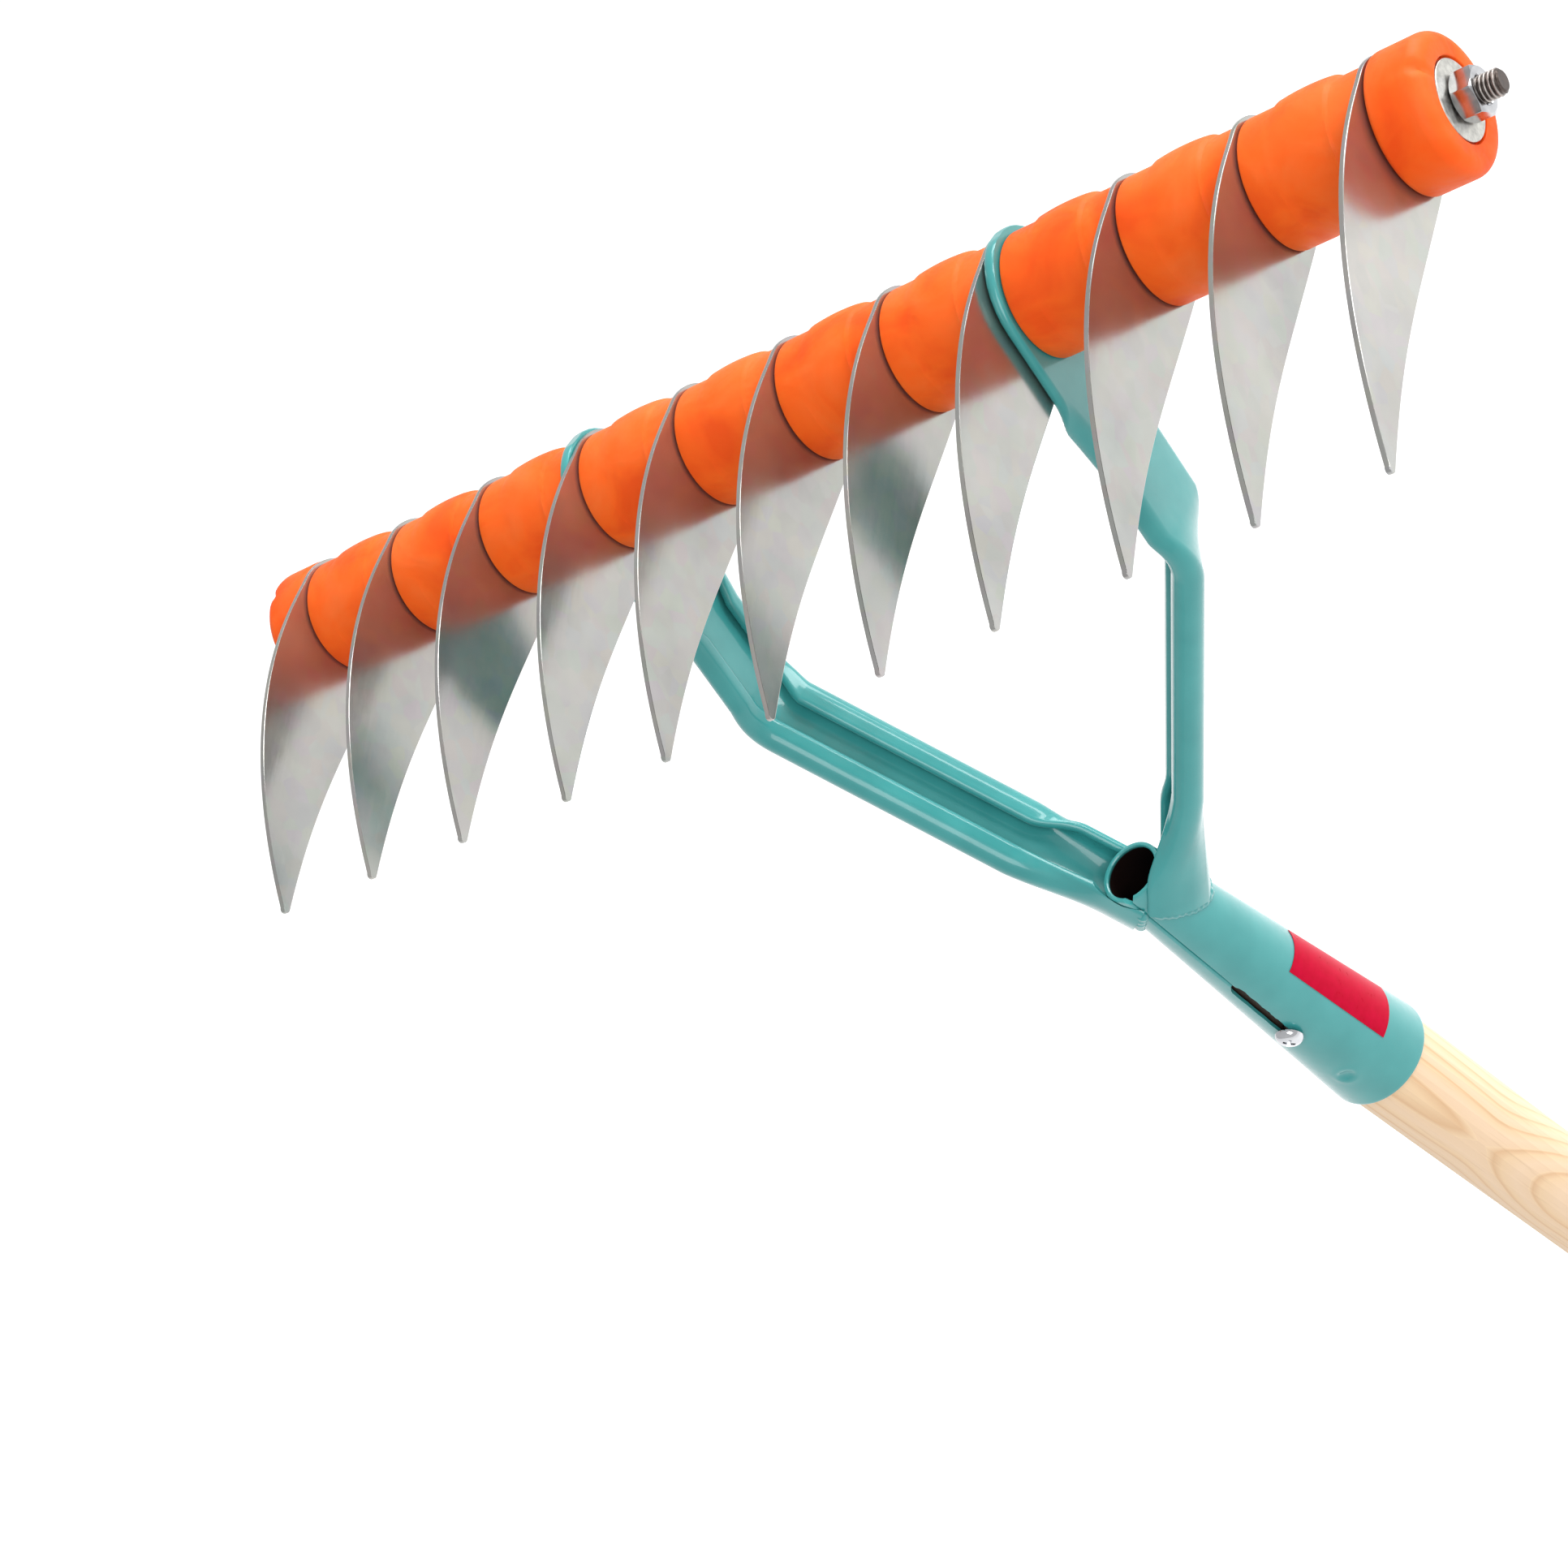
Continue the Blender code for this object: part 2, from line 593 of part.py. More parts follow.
def leg_mesh(side):
    """Loft of the strip's sections down the leg; side is 1 on the right and -1 on the left."""
    forkward = Vector((0.0, -math.sin(FORK_LEAN), -math.cos(FORK_LEAN)))
    face = Vector((0.0, -math.cos(FORK_LEAN), math.sin(FORK_LEAN)))
    path, knee_end = leg_path()
    shape = bmesh.new()
    rings = []
    for x, drop, angle, narrow in path:
        inward = -math.cos(angle) * Vector((1, 0, 0)) - math.sin(angle) * forkward
        roll = ramp(drop, LEG_FLAT_END, LEG_FOLD_START)
        turned_in = ramp(drop, LEG_TURN_START, knee_end)
        opened = ramp(drop, LEG_FOOT_START, LEG_END)
        web = LEG_FOLD_WEB + (LEG_SHANK_WEB - LEG_FOLD_WEB) * turned_in
        web += (LEG_FOOT_WEB - LEG_SHANK_WEB) * opened
        radius = LEG_FOLD_RADIUS + (LEG_SHANK_RADIUS - LEG_FOLD_RADIUS) * turned_in
        radius += (LEG_FOOT_RADIUS - LEG_SHANK_RADIUS) * opened
        pinch = LEG_PINCH * opened
        twist = math.radians(LEG_TWIST) * turned_in
        across = face * math.cos(twist) - inward * math.sin(twist)
        hollow = inward * math.cos(twist) + face * math.sin(twist)
        stand_off = LEG_SET_KNEE * ramp(drop, LEG_FLAT_END, knee_end)
        stand_off += (LEG_SET_END - LEG_SET_KNEE) * ramp(drop, knee_end, LEG_END)
        centre = Vector((x, 0.0, 0.0)) + forkward * drop + face * stand_off
        ring = []
        for point in leg_section(roll, narrow, web, radius, pinch):
            place = centre + across * point.x + hollow * point.y
            ring.append(shape.verts.new((place.x * side, place.y, place.z)))
        rings.append(ring)
    count = len(rings[0])
    for upper, lower in zip(rings, rings[1:]):
        for i in range(count):
            j = (i + 1) % count
            shape.faces.new((upper[i], upper[j], lower[j], lower[i]))
    shape.faces.new(rings[0])
    shape.faces.new(rings[-1])
    bmesh.ops.triangulate(shape, faces=shape.faces)
    bmesh.ops.recalc_face_normals(shape, faces=shape.faces)
    mesh = bpy.data.meshes.new("leg")
    shape.to_mesh(mesh)
    shape.free()
    return mesh


def add_fork():
    """Two legs with a rod hole at the eye and a saddle at the socket."""
    axis_place = (0.0, HANDLE_OFFSET, ROD_Z)
    bore = add_cutter("eye_bore", moved(cylinder_mesh(BORE_RADIUS, PITCH * 6, SMALL_SEGMENTS), ALONG_ROD))
    bore.location = axis_place
    saddle_top = SOCKET_LENGTH * 1.6
    saddle = [
        (0.0, saddle_top),
        (socket_radius(saddle_top) + GAP, saddle_top),
        (socket_radius(0.0) + GAP, 0.0),
        (0.0, 0.0),
    ]
    cone = add_cutter("saddle_cone", turned(saddle, ROUND_SEGMENTS))
    cone.location.z = MOUTH_Z
    for name, side in (("fork_leg_right", 1), ("fork_leg_left", -1)):
        leg = add_part(name, leg_mesh(side), FORK_PAINT, None, axis_place)
        far = -side * LEG_MEET
        near = side * GAP / 2
        low = (min(far, near), -LEG_MEET, MOUTH_Z - LEG_MEET)
        high = (max(far, near), LEG_MEET, ROD_Z)
        middle = add_cutter("middle_" + name, box_mesh(low, high))
        cut(leg, bore)
        cut(leg, cone)
        cut(leg, middle)


# Socket, screw, handle and grip

def add_socket():
    """Rolled cone with an open seam slot, a screw hole, a notched rim and a punched dimple."""
    top = SOCKET_LENGTH
    profile = [
        (SOCKET_TOP_RADIUS - SOCKET_WALL, top),
        (SOCKET_TOP_RADIUS, top),
        (SOCKET_MOUTH_RADIUS, 0.0),
        (SOCKET_MOUTH_RADIUS - SOCKET_WALL, 0.0),
    ]
    socket = add_part("socket", turned(profile, ROUND_SEGMENTS, closed=True), SOCKET_PAINT, None, (0, 0, MOUTH_Z))
    reach = SOCKET_MOUTH_RADIUS * 2
    slot_low = (-SLOT_WIDTH / 2, -reach, MOUTH_Z + SCREW_HEIGHT)
    slot_high = (SLOT_WIDTH / 2, 0.0, MOUTH_Z + SLOT_TOP)
    cut(socket, add_cutter("seam_slot", box_mesh(slot_low, slot_high)))
    hole_radius = SCREW_SHANK_DIAMETER / 2 + GAP
    facing_front = Matrix.Rotation(math.radians(90), 4, "X")
    hole = add_cutter("screw_hole", moved(cylinder_mesh(hole_radius, reach, SMALL_SEGMENTS), facing_front))
    hole.location = (0.0, -reach / 2, MOUTH_Z + SCREW_HEIGHT)
    cut(socket, hole)
    notch = add_cutter("rim_notch", moved(cylinder_mesh(SEAM_NOTCH_DEPTH, reach, 4), facing_front))
    notch.location = (0.0, -reach / 2, MOUTH_Z + top)
    notch.scale.x = SEAM_NOTCH_WIDTH / (2 * SEAM_NOTCH_DEPTH)
    cut(socket, notch)
    shape = bmesh.new()
    bmesh.ops.create_uvsphere(shape, u_segments=12, v_segments=8, radius=DIMPLE_RADIUS)
    ball = bpy.data.meshes.new("ball")
    shape.to_mesh(ball)
    shape.free()
    dimple = add_cutter("dimple_punch", ball)
    out = socket_radius(DIMPLE_HEIGHT) + DIMPLE_RADIUS - DIMPLE_DEPTH
    dimple.location = (DIMPLE_SIDE, -out, MOUTH_Z + DIMPLE_HEIGHT)
    cut(socket, dimple)


def screw_seat():
    """Distance from the handle's axis to the underside of the screw's head."""
    return socket_radius(SCREW_HEIGHT) + GAP + SOCKET_SLOPE * SCREW_HEAD_DIAMETER / 2


def add_socket_screw():
    """Cross-recessed wood screw through the socket into the handle."""
    head = SCREW_HEAD_DIAMETER / 2
    shank = SCREW_SHANK_DIAMETER / 2
    profile = [(0.0, SCREW_HEAD_HEIGHT)]
    for degrees in (60, 35, 12):
        turn = math.radians(degrees)
        profile.append((head * math.cos(turn), SCREW_HEAD_HEIGHT * math.sin(turn)))
    profile += [
        (head, 0.0),
        (shank, 0.0),
        (shank, -SCREW_SHANK_LENGTH + SCREW_TIP_LENGTH),
        (0.0, -SCREW_SHANK_LENGTH),
    ]
    facing_front = Matrix.Rotation(math.radians(90), 4, "X")
    mesh = moved(turned(profile, SMALL_SEGMENTS), facing_front)
    place = (0.0, -screw_seat(), MOUTH_Z + SCREW_HEIGHT)
    screw = add_part("socket_screw", mesh, SCREW_ZINC, None, place)
    half_width = SCREW_CROSS_WIDTH / 2
    half_length = SCREW_CROSS_LENGTH / 2
    front = -SCREW_HEAD_HEIGHT * 2
    back = -SCREW_HEAD_HEIGHT + SCREW_CROSS_DEPTH
    for name, x, z in (("upright", half_width, half_length), ("level", half_length, half_width)):
        cross = add_cutter("cross_" + name, box_mesh((-x, front, -z), (x, back, z)))
        cross.location = place
        cut(screw, cross)


def butt_curve(radius, bottom, rise):
    """Rounded butt from the side down to the axis."""
    points = []
    for degrees in (0, 24, 47, 69, 90):
        turn = math.radians(degrees)
        points.append((radius * math.cos(turn), bottom + rise - rise * math.sin(turn)))
    points[-1] = (0.0, bottom)
    return points


def hang_hole(name, parent_radius):
    """Cutter for the hanging cord's hole."""
    cutter = moved(cylinder_mesh(HANG_HOLE_DIAMETER / 2, parent_radius * 4, SMALL_SEGMENTS), ALONG_ROD)
    thing = add_cutter(name, cutter)
    thing.location.z = BUTT_Z + HANG_HOLE_HEIGHT
    thing.rotation_euler.z = math.radians(HANG_HOLE_TURN)
    return thing


def add_handle():
    """Turned wooden handle: cone in the socket, light taper and a seat turned down for the grip."""
    coat = GRIP_WALL + GAP
    seat_radius = HANDLE_GRIP_RADIUS + GRIP_PROUD - coat
    cone_end = SOCKET_MOUTH_RADIUS - SOCKET_WALL - GAP - SOCKET_SLOPE * HANDLE_SEAT
    shoulder = BUTT_Z + GRIP_LENGTH + GAP
    profile = [
        (0.0, MOUTH_Z + HANDLE_SEAT),
        (cone_end - HANDLE_END_EDGE, MOUTH_Z + HANDLE_SEAT),
        (cone_end, MOUTH_Z + HANDLE_SEAT - HANDLE_END_EDGE),
        (HANDLE_RADIUS, MOUTH_Z),
        (HANDLE_GRIP_RADIUS, shoulder),
        (seat_radius, shoulder),
    ]
    profile += butt_curve(seat_radius, BUTT_Z + coat, GRIP_END_ROUND - coat)
    handle = add_part("wooden_handle", turned(profile, ROUND_SEGMENTS), HANDLE_WOOD)
    cut(handle, hang_hole("handle_hole", HANDLE_RADIUS))
    facing_front = Matrix.Rotation(math.radians(90), 4, "X")
    depth = SCREW_SHANK_LENGTH + GAP
    pilot = add_cutter(
        "pilot_hole", moved(cylinder_mesh(SCREW_SHANK_DIAMETER / 2 + GAP, depth, SMALL_SEGMENTS), facing_front)
    )
    pilot.location = (0.0, -screw_seat() + depth / 2, MOUTH_Z + SCREW_HEIGHT)
    cut(handle, pilot)


def add_grip():
    """Dipped coat over the butt, closed at its end."""
    outer = HANDLE_GRIP_RADIUS + GRIP_PROUD
    inner = outer - GRIP_WALL
    top = BUTT_Z + GRIP_LENGTH
    inside = butt_curve(inner, BUTT_Z + GRIP_WALL, GRIP_END_ROUND - GRIP_WALL)
    profile = inside[::-1] + [(inner, top), (outer, top)]
    profile += butt_curve(outer, BUTT_Z, GRIP_END_ROUND)
    grip = add_part("grip_sleeve", turned(profile, ROUND_SEGMENTS), GRIP_COAT)
    cut(grip, hang_hole("grip_hole", outer))


# The hanging cord's own points, in metres from the middle of its hole, with the hole along X
CORD_ROUTE = (
    (-0.0100, 0.0000, 0.0000),
    (-0.0136, 0.0000, 0.0000),
    (-0.0170, 0.0008, -0.0006),
    (-0.0195, 0.0050, -0.0022),
    (-0.0195, 0.0130, -0.0042),
    (-0.0160, 0.0260, -0.0036),
    (-0.0095, 0.0375, 0.0006),
    (-0.0010, 0.0432, 0.0064),
    (0.0080, 0.0405, 0.0126),
    (0.0150, 0.0305, 0.0172),
    (0.0195, 0.0180, 0.0188),
    (0.0215, 0.0080, 0.0146),
    (0.0202, 0.0022, 0.0066),
    (0.0170, 0.0002, 0.0012),
    (0.0136, 0.0000, 0.0000),
    (0.0100, 0.0000, 0.0000),
)
CORD_STEPS = 3                # tube points between two route points


def smooth_route(route, steps):
    """Points along a Catmull-Rom curve through the route."""
    knots = [Vector(point) for point in route]
    knots = [2 * knots[0] - knots[1]] + knots + [2 * knots[-1] - knots[-2]]
    points = []
    for a, b, c, d in zip(knots, knots[1:], knots[2:], knots[3:]):
        for i in range(steps):
            t = i / steps
            points.append(
                (2 * b + (c - a) * t + (2 * a - 5 * b + 4 * c - d) * t * t + (3 * b - a - 3 * c + d) * t ** 3) / 2
            )
    return points + [knots[-2]]


def add_cord():
    """Thin cord loop between the two mouths of its hole."""
    curve = bpy.data.curves.new("hanging_cord", "CURVE")
    curve.dimensions = "3D"
    curve.bevel_depth = CORD_DIAMETER / 2
    curve.bevel_resolution = 2
    curve.use_fill_caps = True
    points = smooth_route(CORD_ROUTE, CORD_STEPS)
    spline = curve.splines.new("POLY")
    spline.points.add(len(points) - 1)
    for knot, place in zip(spline.points, points):
        knot.co = (*place, 1.0)
    curve.materials.append(CORD_FIBRE)
    thing = bpy.data.objects.new("hanging_cord", curve)
    PARTS.objects.link(thing)
    thing.location.z = BUTT_Z + HANG_HOLE_HEIGHT
    thing.rotation_euler.z = math.radians(HANG_HOLE_TURN)


def build():
    """Make every sub-part."""
    pivot = head_pivot()
    add_rod(pivot)
    add_blades(pivot)
    add_spacers(pivot)
    add_end_fittings(pivot, "right", Matrix.Identity(4))
    add_end_fittings(pivot, "left", Matrix.Rotation(math.radians(180), 4, "Z"))
    add_fork()
    add_socket()
    add_socket_screw()
    add_handle()
    add_grip()
    add_cord()


build()
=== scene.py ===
"""Looks of the aerator rake: fine meshes, finishes, light and the close-up camera."""

import math

import bmesh
import bpy
from mathutils import Matrix, Vector


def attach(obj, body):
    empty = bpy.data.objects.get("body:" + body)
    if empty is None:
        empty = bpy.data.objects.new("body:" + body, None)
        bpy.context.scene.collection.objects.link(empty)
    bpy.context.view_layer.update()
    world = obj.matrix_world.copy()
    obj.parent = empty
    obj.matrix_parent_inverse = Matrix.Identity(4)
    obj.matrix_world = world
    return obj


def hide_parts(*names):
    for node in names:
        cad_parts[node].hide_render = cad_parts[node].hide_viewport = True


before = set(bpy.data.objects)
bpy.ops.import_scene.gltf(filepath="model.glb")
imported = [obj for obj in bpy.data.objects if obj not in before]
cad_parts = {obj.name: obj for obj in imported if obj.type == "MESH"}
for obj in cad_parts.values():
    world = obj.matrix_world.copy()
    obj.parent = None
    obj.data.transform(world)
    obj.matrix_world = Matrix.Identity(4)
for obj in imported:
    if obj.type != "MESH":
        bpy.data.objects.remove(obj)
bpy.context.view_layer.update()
scene = bpy.context.scene
scene.view_settings.view_transform = "Standard"

ROOT = "handle_and_fork"
HEAD = "head"

# Sizes shared with the solids, in metres
HANDLE_OFFSET = 0.0600
ROD_Z = 1.4595
MOUTH_Z = 1.2325
BUTT_Z = -0.1175
SOCKET_LENGTH = 0.1027
SOCKET_TOP_RADIUS = 0.0081
SOCKET_MOUTH_RADIUS = 0.01475
SOCKET_WALL = 0.0012
SOCKET_SLOPE = (SOCKET_MOUTH_RADIUS - SOCKET_TOP_RADIUS) / SOCKET_LENGTH
BLADE_STATIONS = [-0.1579, -0.1269, -0.0959, -0.062, -0.031, 0.0, 0.031, 0.062, 0.0959, 0.1269, 0.1579]
AXIS = Vector((0.0, HANDLE_OFFSET, ROD_Z))
BORE = 0.0033
GAP = 0.0003  # between pieces that touch
CORNERS = ((-1, -1), (1, -1), (1, 1), (-1, 1))


# Camera

def add_camera():
    """The close-up's viewpoint."""
    lens = bpy.data.cameras.new("close_up")
    lens.sensor_fit = "HORIZONTAL"
    lens.sensor_width = 36.0
    lens.lens = 84.67
    lens.clip_start = 0.02
    lens.clip_end = 60.0
    camera = bpy.data.objects.new("close_up", lens)
    scene.collection.objects.link(camera)
    camera.location = (0.47980, -0.45478, 1.91720)
    camera.rotation_euler = (0.6619427, 0.7245237, 0.1525553)
    scene.camera = camera


add_camera()


# Building blocks

def new_mesh(name, points, faces, sharp=None, flat_from=None):
    """Mesh from points and faces, facing out; faces with at least flat_from corners stay flat."""
    mesh = bpy.data.meshes.new(name)
    mesh.from_pydata([tuple(p) for p in points], [], faces)
    shape = bmesh.new()
    shape.from_mesh(mesh)
    bmesh.ops.remove_doubles(shape, verts=shape.verts, dist=1e-7)
    bmesh.ops.recalc_face_normals(shape, faces=shape.faces)
    shape.to_mesh(mesh)
    shape.free()
    smoothed(mesh, sharp)
    if flat_from:
        for face in mesh.polygons:
            if len(face.vertices) >= flat_from:
                face.use_smooth = False
    return mesh


def smoothed(mesh, degrees=None):
    """The mesh with smooth shading, broken where it bends by more than the degrees."""
    mesh.shade_smooth()
    if degrees:
        mesh.set_sharp_from_angle(angle=math.radians(degrees))
    return mesh


def place(name, mesh, material, body, nodes=()):
    """Put a piece on its body, in the stead of the CAD nodes named."""
    thing = bpy.data.objects.new(name, mesh)
    scene.collection.objects.link(thing)
    mesh.materials.clear()
    mesh.materials.append(material)
    if nodes:
        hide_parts(*nodes)
    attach(thing, body)
    return thing


def loft_faces(rings, count, closed=False, capped=False, start=0):
    """Faces between rings of count points; closed joins the last ring to the first, capped fills both."""
    faces = []
    for k in range(rings if closed else rings - 1):
        here = start + k * count
        there = start + (k + 1) % rings * count
        for i in range(count):
            j = (i + 1) % count
            faces.append((here + i, here + j, there + j, there + i))
    if capped:
        last = start + (rings - 1) * count
        faces += [tuple(range(start, start + count)), tuple(range(last, last + count))]
    return faces


def turned(profile, segments, closed=False, capped=False):
    """Points and faces of (radius, height) points turned about Z."""
    points = []
    for radius, height in profile:
        for j in range(segments):
            turn = math.tau * j / segments
            points.append((radius * math.cos(turn), radius * math.sin(turn), height))
    return points, loft_faces(len(profile), segments, closed, capped)


def circle(hub, a, b, count):
    """Points round a hub, whose radii are a at the start and b a quarter turn on."""
    turns = [math.tau * i / count for i in range(count)]
    return [hub + a * math.cos(turn) + b * math.sin(turn) for turn in turns]


def prism(outline, near, far):
    """Closed prism along Y from an (x, z) outline."""
    points = [(x, y, z) for y in (near, far) for x, z in outline]
    return new_mesh("prism", points, loft_faces(2, len(outline), capped=True))


def cylinder_mesh(radius, length, segments, matrix):
    """Closed cylinder on Z, carried through a matrix."""
    points, faces = turned([(radius, length / 2), (radius, -length / 2)], segments, capped=True)
    return new_mesh("cylinder", [matrix @ Vector(p) for p in points], faces)


def smooth_route(route, steps):
    """Points along a Catmull-Rom curve through a route in mm."""
    knots = [Vector(point) * 0.001 for point in route]
    knots = [2 * knots[0] - knots[1]] + knots + [2 * knots[-1] - knots[-2]]
    points = []
    for a, b, c, d in zip(knots, knots[1:], knots[2:], knots[3:]):
        for i in range(steps):
            t = i / steps
            bend = (2 * a - 5 * b + 4 * c - d) * t * t + (3 * b - a - 3 * c + d) * t ** 3
            points.append((2 * b + (c - a) * t + bend) / 2)
    return points + [knots[-2]]


def heading(line, i):
    """Direction of a line at its point i."""
    return (line[min(i + 1, len(line) - 1)] - line[max(i - 1, 0)]).normalized()


def along_line(points, fractions):
    """Places on a line at fractions of its length."""
    lengths = [0.0]
    for a, b in zip(points, points[1:]):
        lengths.append(lengths[-1] + (b - a).length)
    places = []
    for fraction in fractions:
        wanted = fraction * lengths[-1]
        k = 0
        while k < len(points) - 2 and lengths[k + 1] < wanted:
            k += 1
        step = max(lengths[k + 1] - lengths[k], 0.000001)
        places.append(points[k].lerp(points[k + 1], (wanted - lengths[k]) / step))
    return places


def between(start, end, part):
    """Number a part of the way from start to end."""
    return start + (end - start) * part


def spread(start, end, steps):
    """Even steps after start up to end."""
    return [between(start, end, i / steps) for i in range(1, steps + 1)]


def ramp(value, start, end):
    """0 before start, 1 after end and an even rise between."""
    return min(max((value - start) / (end - start), 0.0), 1.0)


def soft(value):
    """Rise with soft ends."""
    return value * value * (3 - 2 * value)


def eased(value):
    """Rise with soft ends, close to an even one."""
    return (value + soft(value)) * 0.5


def along_rod(points, x=0.0, flip=False):
    """Turned points, which stand on Z, laid on the rod."""
    sign = -1.0 if flip else 1.0
    return [(sign * (p[2] + x), HANDLE_OFFSET + sign * p[1], ROD_Z - p[0]) for p in points]


def boolean(mesh, cutter, operation="DIFFERENCE"):
    """Mesh after one exact boolean with a cutter mesh."""
    base = bpy.data.objects.new("base", mesh)
    tool = bpy.data.objects.new("tool", cutter)
    scene.collection.objects.link(base)
    scene.collection.objects.link(tool)
    modifier = base.modifiers.new("cut", "BOOLEAN")
    modifier.operation = operation
    modifier.solver = "EXACT"
    modifier.object = tool
    bpy.context.view_layer.update()
    done = bpy.data.meshes.new_from_object(base.evaluated_get(bpy.context.evaluated_depsgraph_get()))
    bpy.data.objects.remove(base)
    bpy.data.objects.remove(tool)
    return done


def fillet(radius, height, size, start, end, steps=6):
    """Arc points of a rounded edge about the corner's centre, angles in degrees."""
    turns = [math.radians(between(start, end, i / steps)) for i in range(steps + 1)]
    return [(radius + size * math.cos(turn), height + size * math.sin(turn)) for turn in turns]


# Finishes

class Finish:
    """A procedural material built from a few kinds of node."""

    def __init__(self, name, metallic=0.0, roughness=0.4):
        self.material = bpy.data.materials.new(name)
        self.material.use_nodes = True
        self.tree = self.material.node_tree
        self.shader = self.tree.nodes["Principled BSDF"]
        self.set(Metallic=metallic, Roughness=roughness)
        self.place = self.node("TexCoord").outputs["Object"]

    def feed(self, value, socket):
        """Link an output to a socket, or set the socket to a plain value."""
        if isinstance(value, bpy.types.NodeSocket):
            self.tree.links.new(value, socket)
        else:
            socket.default_value = value

    def set(self, **values):
        """Feed the shader's inputs; an underscore stands for a space."""
        for key, value in values.items():
            self.feed(value, self.shader.inputs[key.replace("_", " ")])
        return self.material

    def node(self, kind, **values):
        """New node with the named inputs fed."""
        made = self.tree.nodes.new("ShaderNode" + kind)
        for key, value in values.items():
            self.feed(value, made.inputs[key.replace("_", " ")])
        return made

    def scaled(self, scale, turn=(0.0, 0.0, 0.0)):
        return self.node("Mapping", Vector=self.place, Scale=scale, Rotation=turn).outputs["Vector"]

    def noise(self, scale, detail, rough=0.5, distortion=0.0, vector=None):
        node = self.node("TexNoise", Vector=vector or self.place, Scale=scale, Detail=detail)
        self.feed(rough, node.inputs["Roughness"])
        self.feed(distortion, node.inputs["Distortion"])
        return node.outputs["Fac"]

    def streaks(self, scale, detail, rough=0.5, turn=(0.0, 0.0, 0.0)):
        """Noise with a scale of its own along each axis."""
        return self.noise(1.0, detail, rough, vector=self.scaled(scale, turn))

    def parts(self):
        return self.node("SeparateXYZ", Vector=self.place).outputs

    def math(self, operation, *values):
        node = self.node("Math")
        node.operation = operation
        for value, socket in zip(values, node.inputs):
            self.feed(value, socket)
        return node.outputs[0]

    def length(self, a, b):
        """Length of the flat vector (a, b)."""
        return self.math("SQRT", self.math("ADD", self.math("MULTIPLY", a, a), self.math("MULTIPLY", b, b)))

    def ranged(self, value, low, high, to_low=0.0, to_high=1.0, smooth=False):
        node = self.node("MapRange", Value=value, From_Min=low, From_Max=high, To_Min=to_low, To_Max=to_high)
        if smooth:
            node.interpolation_type = "SMOOTHSTEP"
        return node.outputs["Result"]

    def ramp(self, value, *stops):
        """Colour ramp through (place, colour) stops."""
        node = self.node("ValToRGB", Fac=value)
        band = node.color_ramp
        while len(band.elements) < len(stops):
            band.elements.new(0.5)
        for element, (where, colour) in zip(band.elements, stops):
            element.position = where
            element.color = (*colour, 1.0)
        return node.outputs["Color"]

    def mixed(self, factor, a, b, blend="MIX"):
        node = self.node("Mix")
        node.data_type = "RGBA"
        node.blend_type = blend
        self.feed(factor, node.inputs["Factor"])
        for value, socket in zip((a, b), [s for s in node.inputs if s.type == "RGBA"]):
            self.feed((*value, 1.0) if isinstance(value, tuple) else value, socket)
        return [s for s in node.outputs if s.type == "RGBA"][0]

    def bump(self, height, strength, distance, normal=None):
        node = self.node("Bump", Strength=strength, Distance=distance, Height=height)
        if normal:
            self.feed(normal, node.inputs["Normal"])
        return node.outputs["Normal"]

    def from_rod(self):
        """Distance from the rod's axis."""
        _, y, z = self.parts()
        return self.length(self.math("SUBTRACT", y, HANDLE_OFFSET), self.math("SUBTRACT", z, ROD_Z))

    def inside_socket(self):
        """1 on the socket's bare inside below its rim and 0 elsewhere."""
        x, y, z = self.parts()
        height = self.math("SUBTRACT", z, MOUTH_Z)
        outer = self.math("SUBTRACT", SOCKET_MOUTH_RADIUS, self.math("MULTIPLY", height, SOCKET_SLOPE))
        deep = self.ranged(self.math("SUBTRACT", outer, self.length(x, y)), 0.0009, 0.0011, smooth=True)
        below = self.ranged(height, SOCKET_LENGTH - 0.0012, SOCKET_LENGTH - 0.0004, 1.0, 0.0, True)
        return self.math("MULTIPLY", deep, below)


def galvanised_finish():
    """Zinc-coated sheet: faint spangle, clouding and rolling lines."""
    f = Finish("galvanised_sheet", metallic=0.88)
    cloud = f.noise(34.0, 4.0, 0.55)
    spangle = f.node("TexVoronoi", Vector=f.scaled((0.4, 1.0, 1.0)), Scale=240.0).outputs["Color"]
    grain = f.streaks((20.0, 60.0, 900.0), 3.0, 0.6, (0.5, 0.0, 0.0))
    colour = f.ramp(
        cloud, (0.30, (0.36, 0.355, 0.345)), (0.50, (0.42, 0.415, 0.395)), (0.72, (0.48, 0.47, 0.44))
    )
    rough = f.ranged(cloud, 0.3, 0.7, 0.12, 0.20)
    return f.set(
        Base_Color=f.mixed(0.06, colour, spangle, "SOFT_LIGHT"),
        Roughness=f.math("ADD", rough, f.math("MULTIPLY", grain, 0.06)),
        Normal=f.bump(grain, 0.05, 0.0001),
    )


def spacer_finish(name, green, blue):
    """Waxy moulded orange plastic with faint flow clouds."""
    f = Finish(name)
    cloud = f.noise(60.0, 3.0, 0.5, 0.6)
    fine = f.noise(900.0, 2.0)
    light = (1.0, green * 1.22, blue * 2.0 + 0.004)
    dark = (0.90, green * 0.70, blue * 0.6)
    return f.set(
        Base_Color=f.ramp(cloud, (0.32, dark), (0.5, (1.0, green, blue)), (0.70, light)),
        Roughness=f.ranged(fine, 0.2, 0.8, 0.46, 0.60),
        Normal=f.bump(fine, 0.08, 0.0002, f.bump(cloud, 0.60, 0.0014)),
        Subsurface_Weight=0.25,
        Subsurface_Scale=0.004,
        Specular_IOR_Level=0.17,
    )


